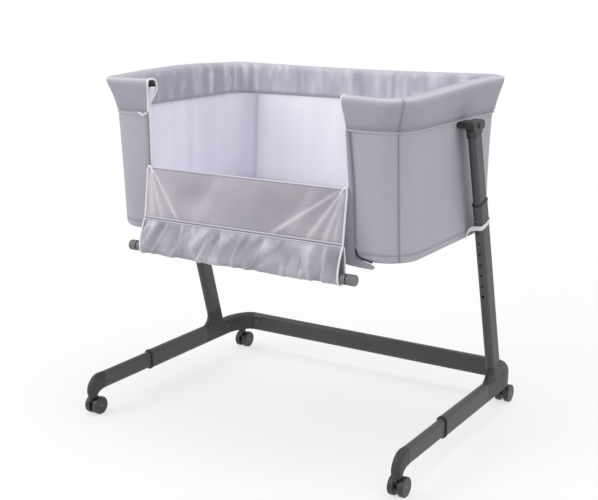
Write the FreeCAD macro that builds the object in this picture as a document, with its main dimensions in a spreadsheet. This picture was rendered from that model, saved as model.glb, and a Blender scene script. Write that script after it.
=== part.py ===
"""Bedside sleeper crib: a bassinet carried on two telescopic columns over a base on casters.

Frame of the part, in millimetres: +X along the crib's length, +Y away from the adult's bed,
+Z up. The origin is on the floor, under the middle of the base. The drop side faces -Y.
Right-hand pieces (+X) are drawn, and their left-hand twins are mirror images in the plane X = 0.
"""
import FreeCAD, Part
import math
import os
import types

import Sketcher
from FreeCAD import Placement, Rotation, Vector

X_AXIS = Vector(1, 0, 0)

# Driving dimensions: name, value in millimetres (or degrees), meaning.
DIMENSIONS = (
    # Base frame
    ("tube_width", 25.0, "base tube, side to side"),
    ("tube_height", 55.0, "base tube, top to bottom"),
    ("tube_wall", 1.5, "wall of every flat-oval steel tube"),
    ("frame_height", 85.0, "floor to the centre line of the base tubes"),
    ("foot_clearance", 33.5, "body's end to the middle of a foot tube and its column"),
    ("corner_reach", 55.0, "end of the straight crossbar to the middle of a foot tube"),
    ("crossbar_y", 351.0, "crossbar's centre line behind the origin"),
    ("bend_tight", 40.0, "rear corner's bend beside the crossbar"),
    ("bend_wide", 120.0, "rear corner's bend beside the leg hub"),
    ("spigot_length", 38.0, "depth of every plug in its tube"),
    ("spigot_gap", 0.2, "gap round a plug in its tube"),
    ("hub_front_y", 150.0, "front face of the leg hub"),
    ("hub_fillet", 26.0, "hollow curve between the leg hub's socket and the foot"),
    ("fillet_sink", 0.3, "how far the ends of that curve lie inside the hub"),
    ("screw_radius", 4.0, "frame screw's head"),
    ("screw_height", 2.0, "frame screw's head, standing out"),
    ("screw_inset", 12.0, "frame screws from the seams of the corner elbows"),
    # Columns and risers
    ("lean", 16.0, "columns' lean toward the bed, in degrees"),
    ("column_foot_y", 222.0, "column's axis at the height of the base tubes"),
    ("column_width", 24.4, "lower column, side to side"),
    ("column_depth", 54.0, "lower column, front to back"),
    ("column_low", 74.0, "lower column's bottom end, along its axis"),
    ("column_top", 540.0, "lower column's top end, along its axis"),
    ("hole_first", 500.0, "uppermost height hole, along the axis"),
    ("hole_pitch", 30.0, "distance between height holes"),
    ("hole_count", 8.0, "number of height holes in a column"),
    ("hole_radius", 3.6, "radius of a height hole"),
    ("button_radius", 3.3, "radius of a lock button's pin"),
    ("riser_gap", 0.4, "gap between the riser and its column"),
    ("riser_low", 310.0, "riser's bottom end, along the axis"),
    ("bush_rim", 1.2, "how far a tube bush stands out round its tube"),
    ("bush_height", 5.0, "thickness of a tube bush's rim"),
    ("slide_gap", 0.25, "gap between a bush and the tube that slides in it"),
    ("head_front_y", -12.0, "front end of the riser's head"),
    ("head_back_y", 57.0, "rounded back end of the riser's head"),
    ("head_low", 787.0, "underside of the riser's head"),
    ("head_top", 811.0, "top of the riser's head"),
    ("head_width", 25.0, "riser's head, side to side"),
    ("neck_length", 12.0, "collar under the head, along the riser"),
    ("bolt_radius", 4.0, "head bolt's shank"),
    ("bolt_head_radius", 6.5, "head bolt's head"),
    ("bolt_head_height", 3.0, "head bolt's head, standing out"),
    ("head_edge", 3.0, "rounding along the edges of the riser's head"),
    ("head_middle", 799.0, "middle height of the head and its arm"),
    ("arm_front_y", -4.0, "front edge of the head's arm"),
    ("arm_back_y", 48.0, "back edge of the head's arm"),
    ("arm_height", 16.0, "head's arm, top to bottom"),
    ("neck_proud", 2.9, "how far the collar stands out round the riser, front and back"),
    ("bolt_y", 22.0, "head bolt's place, front to back"),
    ("bolt_z", 799.0, "head bolt's height"),
    # Telescopic feet
    ("outer_front_y", -103.0, "open front end of the outer foot tube"),
    ("inner_back_y", -10.0, "rear end of the inner foot tube"),
    ("inner_front_y", -300.0, "front end of the inner foot tube, at the elbow's seam"),
    ("inner_gap", 1.2, "gap beside the inner foot tube in the outer one"),
    ("inner_gap_tall", 2.7, "gap above and below the inner foot tube in the outer one"),
    ("leg_diameter", 25.0, "round leg that the foot elbow ends in"),
    ("caster_top", 53.0, "floor to the sockets that the casters swivel in"),
    ("elbow_proud", 0.8, "how far the elbow stands out round the inner tube"),
    ("foot_button_y", -60.0, "foot lock button's place"),
    ("foot_hole_pitch", 30.0, "distance between the foot's lock holes"),
    ("foot_hole_count", 5.0, "number of lock holes under a foot"),
    ("button_seat", 1.8, "depth of a button's flange inside its tube's rounded nose"),
    ("button_sink", 0.4, "how far a lock pin's end lies inside its tube's rounded nose"),
    ("button_flange", 4.6, "radius of a button's flange"),
    ("leaf_width", 8.0, "button spring's leaf"),
    ("leaf_length", 50.0, "button spring's leaf, end to end"),
    ("leaf_thickness", 0.9, "button spring's sheet"),
    # Casters
    ("wheel_radius", 24.0, "caster wheel"),
    ("wheel_width", 15.0, "one of the two wheels on a caster"),
    ("front_swivel", 340.0, "front casters' swivel axes in front of the origin"),
    ("rear_swivel", 328.0, "rear casters' swivel axes behind the origin"),
    ("boss_radius", 11.0, "boss under a rear corner that a caster swivels in"),
    ("caster_trail", 12.0, "axle's distance from the swivel axis"),
    ("rear_caster_inset", 17.0, "rear casters inside the middle of a foot tube"),
    ("fork_width", 9.0, "caster housing between its wheels"),
    ("stem_radius", 4.0, "caster stem"),
    ("stem_length", 26.0, "caster stem above its housing"),
    ("stem_seat", 3.6, "depth of the stem in its housing"),
    ("collar_radius", 11.0, "round collar on top of a caster housing"),
    ("hub_boss", 9.0, "housing's boss round the axle"),
    ("wheel_edge", 3.0, "rounding along a wheel's edges"),
    ("axle_radius", 3.0, "caster axle"),
    ("running_gap", 0.06, "radial gap of a pin in the bore that turns on it"),
    ("side_gap", 0.5, "gap beside a part that turns or slides"),
    # Bassinet
    ("body_half_x", 421.5, "half the fabric body's length"),
    ("body_low_half_y", 263.0, "half the body's depth at its floor"),
    ("body_top_half_y", 283.0, "half the body's depth at the cover's top edge"),
    ("body_corner", 80.0, "body's corner radius in plan"),
    ("body_low", 514.0, "underside of the fabric floor"),
    ("cover_top", 850.0, "top edge of the cover under the rim band"),
    ("cover_wall", 4.0, "padded cover's thickness"),
    ("cover_hem", 14.0, "rounding along the body's bottom edge"),
    ("rim_overhang", 12.1, "how far the rim band stands out past the body's ends"),
    ("rim_half_y", 291.6, "half the rim band's depth at its widest"),
    ("rim_corner", 50.0, "rim band's corner radius at its widest"),
    ("rim_top", 891.0, "top of the rim band"),
    ("rim_round", 9.0, "rounding along the rim band's top"),
    ("hem_height", 813.0, "lower edge of the rim band"),
    ("band_flap", 3.0, "rim band's thickness at its lower edge"),
    ("soft_gap", 0.3, "gap between soft parts and their neighbours"),
    ("opening_half", 276.0, "half the width of the opening on the bed side"),
    ("fold_height", 676.0, "height of the fold line that the drop side hangs from"),
    ("rim_tube_radius", 9.0, "rim frame tube"),
    ("rim_tube_inset", 15.5, "rim frame tube's centre line inside the body's ends"),
    ("rim_tube_half_y", 266.0, "rim frame tube's centre line, half depth"),
    ("rim_tube_corner", 66.0, "rim frame tube's bend"),
    ("rim_tube_z", 872.0, "rim frame tube's centre line above the floor"),
    ("ring_radius", 8.0, "tube of the lower ring and the front hoop"),
    ("ring_inset", 13.5, "lower ring's centre line inside the body's ends"),
    ("ring_half_y", 249.5, "lower ring's centre line, half depth"),
    ("ring_corner", 75.0, "lower ring's bend"),
    ("ring_z", 526.5, "lower ring's centre line above the floor"),
    ("round_wall", 1.5, "wall of the round steel tubes"),
    ("hoop_half_x", 300.0, "half the front hoop's width"),
    ("hoop_top", 664.0, "front hoop's centre line above the floor"),
    ("hoop_bend", 30.0, "front hoop's bends"),
    ("hoop_y", 258.6, "front hoop's top bar in front of the origin"),
    ("post_thickness", 6.0, "end post's thickness"),
    ("post_width", 30.0, "end post's width, front to back"),
    ("board_thickness", 5.0, "mattress board"),
    ("lining_inset", 26.5, "lining's outer face inside the body's ends"),
    ("lining_low_half_y", 242.0, "half the lining's outer depth at the board"),
    ("lining_top_half_y", 262.0, "half the lining's outer depth at its top"),
    ("lining_corner", 60.0, "lining's corner radius"),
    ("lining_wall", 2.5, "lining's thickness"),
    ("mattress_thickness", 26.0, "mattress at the middle of its crown"),
    ("mattress_crown", 5.0, "how much the mattress's middle stands above its edge"),
    ("strap_place", 484.0, "column straps along the column's axis"),
    ("strap_height", 12.0, "column strap's webbing width"),
    ("strap_thickness", 1.5, "column strap's webbing thickness"),
    ("strap_gap", 1.0, "gap between a strap and its column"),
    ("tape_width", 11.0, "zip tape beside the opening"),
    ("trim_thickness", 1.4, "zip tape's thickness"),
    ("facing_thickness", 1.5, "room for the facing on the cut edges beside the opening"),
    ("piping_radius", 2.4, "piping along the fold line"),
    # Drop side
    ("fold_y", -280.0, "fold line in front of the origin"),
    ("drop_lean", 8.0, "hanging drop side's lean toward the bed, in degrees"),
    ("drop_length", 200.0, "fold line to the rail's centre line"),
    ("drop_half", 286.0, "half the drop side's fabric width"),
    ("cuff_start", 128.0, "fold line to the seam above the cuff"),
    ("rail_radius", 11.0, "drop rail's tube"),
    ("rail_half", 296.0, "half the drop rail's tube"),
    ("ferrule_radius", 13.0, "drop rail's end sleeves and knobs"),
    ("ferrule_end", 302.0, "end sleeve's outer face from the middle plane"),
    ("knob_end", 327.0, "knob's outer face from the middle plane"),
    ("knob_travel", 4.0, "how far a knob pushes in"),
    ("knob_plunger", 6.0, "radius of a knob's plunger in the rail's end"),
    ("cuff_radius", 15.5, "cuff round the rail"),
    ("cuff_folds", 12.0, "gathers along the cuff"),
    ("fold_depth", 2.5, "depth of a gather"),
    ("fold_radius", 12.0, "roundness of a gather"),
    ("knob_edge", 3.0, "rounding round a knob's outer face"),
    ("panel_thickness", 1.6, "mesh panel"),
)


class Size:
    """A named size: its number, and the expression that binds a property to its cell."""

    def __init__(self, number, text):
        self.number = number
        self.text = text

    def __add__(self, other):
        return combine(self, "+", other, self.number + number_of(other))

    def __radd__(self, other):
        return combine(other, "+", self, number_of(other) + self.number)

    def __sub__(self, other):
        return combine(self, "-", other, self.number - number_of(other))

    def __rsub__(self, other):
        return combine(other, "-", self, number_of(other) - self.number)

    def __mul__(self, other):
        return combine(self, "*", other, self.number * number_of(other))

    def __rmul__(self, other):
        return combine(other, "*", self, number_of(other) * self.number)

    def __truediv__(self, other):
        return combine(self, "/", other, self.number / number_of(other))

    def __neg__(self):
        return combine(-1, "*", self, -self.number)


def number_of(value):
    return value.number if isinstance(value, Size) else float(value)


def text_of(value):
    return value.text if isinstance(value, Size) else repr(float(value))


def combine(left, sign, right, number):
    return Size(number, f"({text_of(left)} {sign} {text_of(right)})")


def sine(angle):
    return Size(math.sin(math.radians(angle.number)), f"sin({angle.text})")


def cosine(angle):
    return Size(math.cos(math.radians(angle.number)), f"cos({angle.text})")


def root(value):
    return Size(math.sqrt(value.number), f"sqrt({value.text})")


document = FreeCAD.newDocument("bedside_crib")
sheet = document.addObject("Spreadsheet::Sheet", "Sizes")
d = types.SimpleNamespace()
for row, (name, number, meaning) in enumerate(DIMENSIONS, start=1):
    sheet.set(f"A{row}", str(number))
    sheet.setAlias(f"A{row}", name)
    sheet.set(f"B{row}", meaning)
    setattr(d, name, Size(number, f"Sizes.{name}"))
document.recompute()

PARTS = []


def part(label, shape_object):
    """Names a finished sub-part and puts it on the list that is written out."""
    shape_object.Label = label
    PARTS.append(shape_object)
    return shape_object


# ---------------------------------------------------------------- drawing helpers


def bind(thing, prop, value):
    """Sets a property to a size, or to a plain number."""
    if isinstance(value, Size):
        thing.setExpression(prop, value.text)
    else:
        thing.setExpression(prop, repr(float(value)))


def place(thing, x=0.0, y=0.0, z=0.0, turn=None, axis=X_AXIS):
    """Places an object at (x, y, z), turned by an angle about an axis through its origin."""
    base = Vector(number_of(x), number_of(y), number_of(z))
    thing.Placement = Placement(base, Rotation(axis, number_of(turn) if turn is not None else 0.0))
    for key, value in (("x", x), ("y", y), ("z", z)):
        if isinstance(value, Size):
            bind(thing, f"Placement.Base.{key}", value)
    if isinstance(turn, Size):
        bind(thing, "Placement.Rotation.Angle", turn)
    return thing


def new_body(name):
    return document.addObject("PartDesign::Body", name)


def new_sketch(body, role, offset=None, turn=None):
    """A sketch on one of the body's origin planes, moved along or turned about its own axes."""
    sketch = body.newObject("Sketcher::SketchObject", "Sketch")
    plane = next(item for item in body.Origin.OriginFeatures if item.Role == role)
    sketch.AttachmentSupport = [(plane, "")]
    sketch.MapMode = "FlatFace"
    if turn is not None:
        sketch.AttachmentOffset = Placement(Vector(), Rotation(X_AXIS, number_of(turn)))
        bind(sketch, "AttachmentOffset.Rotation.Angle", turn)
    if offset is not None:
        bind(sketch, "AttachmentOffset.Base.z", offset)
    return sketch


def fix(sketch, name, constraint, value):
    """Adds a dimension to a sketch and binds it to a size."""
    index = sketch.addConstraint(constraint)
    label = f"{name}_{index}"
    sketch.renameConstraint(index, label)
    bind(sketch, f"Constraints.{label}", value)


def coordinate(sketch, geometry, point, x, y):
    """Holds a point of the sketch at (x, y) from its origin."""
    for name, kind, value in (("x", "DistanceX", x), ("y", "DistanceY", y)):
        constraint = Sketcher.Constraint(kind, -1, 1, geometry, point, number_of(value))
        fix(sketch, name, constraint, value)


def circle(sketch, radius, x=0.0, y=0.0):
    centre = Vector(number_of(x), number_of(y), 0)
    ring = sketch.addGeometry(Part.Circle(centre, Vector(0, 0, 1), number_of(radius)))
    fix(sketch, "radius", Sketcher.Constraint("Radius", ring, number_of(radius)), radius)
    coordinate(sketch, ring, 3, x, y)


def arc(centre, radius, start, end):
    """An arc about a centre, counter-clockwise between two angles in degrees."""
    whole = Part.Circle(centre, Vector(0, 0, 1), radius)
    return Part.ArcOfCircle(whole, math.radians(start), math.radians(end))


def slot(sketch, width, height, x=0.0, y=0.0):
    """A flat-oval outline: two straight sides and two round ends, tall along the sketch's y."""
    radius = width / 2
    reach = (height - width) / 2
    r, c = number_of(radius), number_of(reach)
    cx, cy = number_of(x), number_of(y)
    top = sketch.addGeometry(arc(Vector(cx, cy + c, 0), r, 0, 180))
    left = sketch.addGeometry(Part.LineSegment(Vector(cx - r, cy + c, 0), Vector(cx - r, cy - c, 0)))
    low = sketch.addGeometry(arc(Vector(cx, cy - c, 0), r, 180, 360))
    right = sketch.addGeometry(Part.LineSegment(Vector(cx + r, cy - c, 0), Vector(cx + r, cy + c, 0)))
    for first, second in ((top, left), (left, low), (low, right), (right, top)):
        sketch.addConstraint(Sketcher.Constraint("Tangent", first, 2, second, 1))
    fix(sketch, "radius", Sketcher.Constraint("Radius", top, r), radius)
    coordinate(sketch, top, 3, x, y + reach)
    coordinate(sketch, low, 3, x, y - reach)


def rounded_rectangle(sketch, half_x, half_y, corner):
    """A rectangle with round corners about the sketch's origin."""
    hx, hy, r = number_of(half_x), number_of(half_y), number_of(corner)
    arcs, lines = [], []
    for x, y, start in ((1, 1, 0), (-1, 1, 90), (-1, -1, 180), (1, -1, 270)):
        centre = Vector(x * (hx - r), y * (hy - r), 0)
        arcs.append(sketch.addGeometry(arc(centre, r, start, start + 90)))
    for first, second in ((0, 1), (1, 2), (2, 3), (3, 0)):
        begin = sketch.Geometry[arcs[first]].EndPoint
        finish = sketch.Geometry[arcs[second]].StartPoint
        lines.append(sketch.addGeometry(Part.LineSegment(begin, finish)))
    for index in range(4):
        following = (index + 1) % 4
        sketch.addConstraint(Sketcher.Constraint("Tangent", arcs[index], 2, lines[index], 1))
        sketch.addConstraint(Sketcher.Constraint("Tangent", lines[index], 2, arcs[following], 1))
    for index, kind in enumerate(("Horizontal", "Vertical", "Horizontal", "Vertical")):
        sketch.addConstraint(Sketcher.Constraint(kind, lines[index]))
    for index in (1, 2, 3):
        sketch.addConstraint(Sketcher.Constraint("Equal", arcs[0], arcs[index]))
    fix(sketch, "radius", Sketcher.Constraint("Radius", arcs[0], r), corner)
    coordinate(sketch, arcs[0], 3, half_x - corner, half_y - corner)
    coordinate(sketch, arcs[2], 3, corner - half_x, corner - half_y)


def pad(body, sketch, length, midplane=False, reverse=False):
    feature = body.newObject("PartDesign::Pad", "Pad")
    feature.Profile = sketch
    feature.Midplane = midplane
    feature.Reversed = reverse
    bind(feature, "Length", length)
    return feature


def pocket(body, sketch, length, midplane=False, reverse=False):
    feature = body.newObject("PartDesign::Pocket", "Pocket")
    feature.Profile = sketch
    feature.Midplane = midplane
    feature.Reversed = reverse
    bind(feature, "Length", length)
    return feature


def pipe(body, profile, path, cut=False):
    kind = "PartDesign::SubtractivePipe" if cut else "PartDesign::AdditivePipe"
    feature = body.newObject(kind, "Pipe")
    feature.Profile = profile
    feature.Spine = path
    return feature


def loft(body, sketches, cut=False):
    kind = "PartDesign::SubtractiveLoft" if cut else "PartDesign::AdditiveLoft"
    feature = body.newObject(kind, "Loft")
    feature.Profile = sketches[0]
    feature.Sections = sketches[1:]
    feature.Ruled = True
    return feature


def edges_in_plane(axis, level):
    """Picks the edges that lie in a plane across one axis, on either side of the origin."""
    def chosen(edge):
        bounds = edge.BoundBox
        low, high = getattr(bounds, axis + "Min"), getattr(bounds, axis + "Max")
        return high - low < 0.01 and abs(abs((low + high) / 2) - abs(level)) < 0.01
    return chosen


def circles_of(radius):
    """Picks whole circles of a radius."""
    def chosen(edge):
        return edge.isClosed() and abs(edge.Curve.Radius - radius.number) < 0.01
    return chosen


def round_edges(body, feature, radius, chosen):
    """Rounds the edges of a feature that a test picks."""
    document.recompute()
    names = [f"Edge{index}" for index, edge in enumerate(feature.Shape.Edges, start=1) if chosen(edge)]
    fillet = body.newObject("PartDesign::Fillet", "Rounding")
    fillet.Base = (feature, names)
    bind(fillet, "Radius", radius)
    return fillet


def rounded_bar(sketch, low, high, middle, height):
    """An outline with round ends, long along the sketch's x and centred at y = middle."""
    radius = height / 2
    r, y = number_of(radius), number_of(middle)
    a, b = number_of(low) + r, number_of(high) - r
    left = sketch.addGeometry(arc(Vector(a, y, 0), r, 90, 270))
    under = sketch.addGeometry(Part.LineSegment(Vector(a, y - r, 0), Vector(b, y - r, 0)))
    right = sketch.addGeometry(arc(Vector(b, y, 0), r, 270, 450))
    over = sketch.addGeometry(Part.LineSegment(Vector(b, y + r, 0), Vector(a, y + r, 0)))
    for first, second in ((left, under), (under, right), (right, over), (over, left)):
        sketch.addConstraint(Sketcher.Constraint("Tangent", first, 2, second, 1))
    fix(sketch, "radius", Sketcher.Constraint("Radius", left, r), radius)
    coordinate(sketch, left, 3, low + radius, middle)
    coordinate(sketch, right, 3, high - radius, middle)


def box(name, x, y, z):
    """A box between two coordinates along each axis: each of x, y and z is (low, high)."""
    solid = document.addObject("Part::Box", name)
    for prop, (low, high) in (("Length", x), ("Width", y), ("Height", z)):
        bind(solid, prop, high - low)
    place(solid, x[0], y[0], z[0])
    return solid


def cylinder(name, radius, start, length, axis):
    """A cylinder from a start point (x, y, z) along +X, +Y or +Z."""
    solid = document.addObject("Part::Cylinder", name)
    bind(solid, "Radius", radius)
    bind(solid, "Height", length)
    turns = {"X": (Vector(0, 1, 0), 90.0), "Y": (X_AXIS, -90.0), "Z": (X_AXIS, 0.0)}
    place(solid, *start, turn=turns[axis][1], axis=turns[axis][0])
    return solid


def cut(name, base, tool):
    result = document.addObject("Part::Cut", name)
    result.Base = base
    result.Tool = tool
    return result


def fuse(name, *shapes):
    result = document.addObject("Part::MultiFuse", name)
    result.Shapes = list(shapes)
    return result


def group(name, *shapes):
    """Separate solids that share one node."""
    result = document.addObject("Part::Compound", name)
    result.Links = list(shapes)
    return result


def mirrored(name, source):
    result = document.addObject("Part::Mirroring", name)
    result.Source = source
    result.Normal = X_AXIS
    return result


def pair(label, right):
    """Lists a right-hand piece and its mirror image as two sub-parts."""
    part(f"{label}_right", right)
    part(f"{label}_left", mirrored(f"{label}_left", right))


def stadium_tube(body, role, width, height, wall, low, high, reverse=False):
    """A flat-oval tube between two distances along a plane's normal."""
    for inset, cutting in ((0.0, False), (wall, True)):
        sketch = new_sketch(body, role, offset=low)
        slot(sketch, width - 2 * inset, height - 2 * inset)
        maker = pocket if cutting else pad
        # A pocket runs against its sketch's normal unless it is reversed.
        maker(body, sketch, high - low, reverse=(cutting != reverse))


# ---------------------------------------------------------------- shared positions

foot_x = d.body_half_x + d.foot_clearance
crossbar_half = foot_x - d.corner_reach
rear_caster_x = foot_x - d.rear_caster_inset
rim_half_x = d.body_half_x + d.rim_overhang
rim_tube_half_x = d.body_half_x - d.rim_tube_inset
ring_half_x = d.body_half_x - d.ring_inset
lining_half_x = d.body_half_x - d.lining_inset
bend_turn = (d.bend_wide - (foot_x - crossbar_half)) / (d.bend_wide - d.bend_tight)
bend_side = root(1 - bend_turn * bend_turn)
bend_depth = d.bend_tight * (1 - bend_side) + d.bend_wide * bend_side
hub_back_y = d.crossbar_y - bend_depth
bore_width = d.tube_width - 2 * d.tube_wall
bore_height = d.tube_height - 2 * d.tube_wall
plug_width = bore_width - 2 * d.spigot_gap
plug_height = bore_height - 2 * d.spigot_gap
column_bore_width = d.column_width - 2 * d.tube_wall
column_bore_depth = d.column_depth - 2 * d.tube_wall
riser_width = column_bore_width - 2 * d.riser_gap
riser_depth = column_bore_depth - 2 * d.riser_gap
inner_width = bore_width - 2 * d.inner_gap
inner_height = bore_height - 2 * d.inner_gap_tall

front_swivel_y = -d.front_swivel


def on_column(thing):
    """Stands a piece that is drawn upright on the right column's leaning axis."""
    return place(thing, foot_x, d.column_foot_y, d.frame_height, turn=d.lean)


# ---------------------------------------------------------------- base frame


def make_crossbar():
    body = new_body("crossbar")
    stadium_tube(body, "YZ_Plane", d.tube_width, d.tube_height, d.tube_wall,
                 -crossbar_half, crossbar_half)
    part("crossbar_tube", place(body, 0.0, d.crossbar_y, d.frame_height))


def make_corner_elbow():
    """Bends from the crossbar's end to the leg hub in two arcs, with a plug at each end."""
    body = new_body("corner_elbow")
    path = new_sketch(body, "XY_Plane")
    reach_x = foot_x - crossbar_half
    tight, wide, side = d.bend_tight.number, d.bend_wide.number, bend_side.number
    mid_turn = math.degrees(math.acos(side))
    first = path.addGeometry(arc(Vector(0, -tight, 0), tight, 90 - mid_turn, 90))
    wide_centre = Vector(reach_x.number - wide, -bend_depth.number, 0)
    second = path.addGeometry(arc(wide_centre, wide, 0, 90 - mid_turn))
    path.addConstraint(Sketcher.Constraint("Tangent", first, 1, second, 2))
    fix(path, "tight", Sketcher.Constraint("Radius", first, tight), d.bend_tight)
    fix(path, "wide", Sketcher.Constraint("Radius", second, wide), d.bend_wide)
    coordinate(path, first, 2, 0.0, 0.0)
    path.addConstraint(Sketcher.Constraint("PointOnObject", first, 3, -2))
    path.addConstraint(Sketcher.Constraint("Horizontal", second, 1, second, 3))
    fix(path, "reach", Sketcher.Constraint("DistanceX", -1, 1, second, 1, reach_x.number), reach_x)
    profile = new_sketch(body, "YZ_Plane")
    slot(profile, d.tube_width, d.tube_height)
    pipe(body, profile, path)
    crossbar_plug = new_sketch(body, "YZ_Plane")
    slot(crossbar_plug, plug_width, plug_height)
    pad(body, crossbar_plug, d.spigot_length, reverse=True)
    hub_plug = new_sketch(body, "XZ_Plane", offset=bend_depth)
    slot(hub_plug, plug_width, plug_height, x=reach_x)
    pad(body, hub_plug, d.spigot_length)
    spot = (rear_caster_x - crossbar_half, d.rear_swivel - d.crossbar_y)
    underside = d.caster_top - d.frame_height
    boss = new_sketch(body, "XY_Plane", offset=underside)
    circle(boss, d.boss_radius, *spot)
    pad(body, boss, -underside)
    bore = new_sketch(body, "XY_Plane", offset=underside)
    circle(bore, d.stem_radius + d.running_gap, *spot)
    pocket(body, bore, d.stem_length + d.side_gap, reverse=True)
    pair("corner_elbow", place(body, crossbar_half, d.crossbar_y, d.frame_height))


def make_leg_hub():
    """Joins the foot tube, the corner elbow and the leaning column."""
    body = new_body("leg_hub")
    barrel = new_sketch(body, "XZ_Plane", offset=-hub_back_y)
    slot(barrel, d.tube_width, d.tube_height)
    pad(body, barrel, hub_back_y - d.hub_front_y)
    socket_start = new_sketch(body, "XY_Plane", turn=d.lean)
    socket_start.setExpression("AttachmentOffset.Base.y", d.column_foot_y.text)
    slot(socket_start, d.column_width, d.column_depth)
    pad(body, socket_start, d.column_low)
    column_plug = new_sketch(body, "XY_Plane", turn=d.lean)
    column_plug.setExpression("AttachmentOffset.Base.y", d.column_foot_y.text)
    slot(column_plug, column_bore_width - 2 * d.spigot_gap, column_bore_depth - 2 * d.spigot_gap)
    pad(body, column_plug, d.column_low + d.spigot_length)
    tangent = d.hub_fillet * cosine(d.lean) / (1 - sine(d.lean))
    corner_y = (d.column_foot_y - d.column_depth / 2 / cosine(d.lean)
                - d.tube_height / 2 * sine(d.lean) / cosine(d.lean))
    centre_y, centre_z = corner_y - tangent, d.tube_height / 2 + d.hub_fillet
    thick = d.column_width / 2 - d.fillet_sink
    bend = d.hub_fillet + d.fillet_sink + thick
    path = new_sketch(body, "YZ_Plane")
    curve = path.addGeometry(arc(Vector(centre_y.number, centre_z.number, 0), bend.number,
                                 -90, d.lean.number))
    fix(path, "bend", Sketcher.Constraint("Radius", curve, bend.number), bend)
    coordinate(path, curve, 3, centre_y, centre_z)
    path.addConstraint(Sketcher.Constraint("Vertical", curve, 1, curve, 3))
    rise = bend * sine(d.lean)
    fix(path, "rise", Sketcher.Constraint("DistanceY", curve, 3, curve, 2, rise.number), rise)
    profile = new_sketch(body, "XZ_Plane", offset=-centre_y)
    circle(profile, thick, 0.0, centre_z - bend)
    pipe(body, profile, path)
    foot_plug = new_sketch(body, "XZ_Plane", offset=-d.hub_front_y)
    slot(foot_plug, plug_width, plug_height)
    pad(body, foot_plug, d.spigot_length)
    elbow_socket = new_sketch(body, "XZ_Plane", offset=-hub_back_y)
    slot(elbow_socket, bore_width, bore_height)
    pocket(body, elbow_socket, d.spigot_length + 1.0, reverse=True)
    pair("leg_hub", place(body, foot_x, 0.0, d.frame_height))


def make_outer_foot():
    body = new_body("foot_outer")
    stadium_tube(body, "XZ_Plane", d.tube_width, d.tube_height, d.tube_wall,
                 -d.hub_front_y, -d.outer_front_y)
    hole = new_sketch(body, "XY_Plane", offset=-d.tube_height / 2 - 1.0)
    circle(hole, d.hole_radius, 0.0, d.foot_button_y)
    drilled = pocket(body, hole, d.tube_wall + 2.0, reverse=True)
    pattern = body.newObject("PartDesign::LinearPattern", "Holes")
    pattern.Originals = [drilled]
    pattern.Direction = (hole, ["V_Axis"])
    bind(pattern, "Length", d.foot_hole_pitch * (d.foot_hole_count - 1))
    bind(pattern, "Occurrences", d.foot_hole_count)
    body.Tip = pattern
    pair("foot_outer", place(body, foot_x, 0.0, d.frame_height))


def make_column():
    """Lower column tube with its row of height holes in the narrow front face."""
    body = new_body("column")
    stadium_tube(body, "XY_Plane", d.column_width, d.column_depth, d.tube_wall,
                 d.column_low, d.column_top)
    document.recompute()
    first_hole = new_sketch(body, "XZ_Plane", offset=d.column_depth / 2 + 1.0)
    circle(first_hole, d.hole_radius, 0.0, d.hole_first)
    hole = pocket(body, first_hole, d.tube_wall + 4.0)
    pattern = body.newObject("PartDesign::LinearPattern", "Holes")
    pattern.Originals = [hole]
    pattern.Direction = (first_hole, ["V_Axis"])
    pattern.Reversed = True
    bind(pattern, "Length", d.hole_pitch * (d.hole_count - 1))
    bind(pattern, "Occurrences", d.hole_count)
    body.Tip = pattern
    pair("column", on_column(body))


def make_tube_bushes():
    """Plastic rings on the open ends of the lower columns and the outer foot tubes."""
    top = new_body("column_bush")
    ring = new_sketch(top, "XY_Plane", offset=d.column_top)
    slot(ring, d.column_width + 2 * d.bush_rim, d.column_depth + 2 * d.bush_rim)
    slot(ring, riser_width + 2 * d.slide_gap, riser_depth + 2 * d.slide_gap)
    pad(top, ring, d.bush_height)
    on_column(top)
    front = new_body("foot_bush")
    mouth = new_sketch(front, "XZ_Plane", offset=-d.outer_front_y)
    slot(mouth, d.tube_width + 2 * d.bush_rim, d.tube_height + 2 * d.bush_rim)
    slot(mouth, inner_width + 2 * d.slide_gap, inner_height + 2 * d.slide_gap)
    pad(front, mouth, d.bush_height)
    place(front, foot_x, 0.0, d.frame_height)
    twins = [mirrored(f"{item.Name}_left", item) for item in (top, front)]
    part("tube_bushes", group("tube_bushes", top, front, *twins))


def make_frame_screws():
    """Screw heads on the inner faces of the crossbar and the leg hubs, over their plugs."""
    crossbar_face = d.crossbar_y - d.tube_width / 2 - d.screw_height
    hub_face = foot_x - d.tube_width / 2 - d.screw_height
    level = d.frame_height + 3.0
    bar = cylinder("bar_screw", d.screw_radius,
                   (crossbar_half - d.screw_inset, crossbar_face, level), d.screw_height, "Y")
    hub = cylinder("hub_screw", d.screw_radius,
                   (hub_face, hub_back_y - d.screw_inset, level), d.screw_height, "X")
    twins = [mirrored(f"{item.Name}_left", item) for item in (bar, hub)]
    part("frame_screws", group("frame_screws", bar, hub, *twins))


make_crossbar()
make_corner_elbow()
make_leg_hub()
make_outer_foot()
make_column()
make_tube_bushes()
make_frame_screws()


# ---------------------------------------------------------------- telescopic feet


def make_inner_foot():
    body = new_body("foot_inner")
    stadium_tube(body, "XZ_Plane", inner_width, inner_height, d.tube_wall,
                 -d.inner_back_y, -d.inner_front_y)
    hole = new_sketch(body, "XY_Plane", offset=-inner_height / 2 - 1.0)
    circle(hole, d.hole_radius, 0.0, d.foot_button_y)
    pocket(body, hole, d.tube_wall + 4.0, reverse=True)
    pair("foot_inner", place(body, foot_x, 0.0, d.frame_height))


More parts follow.
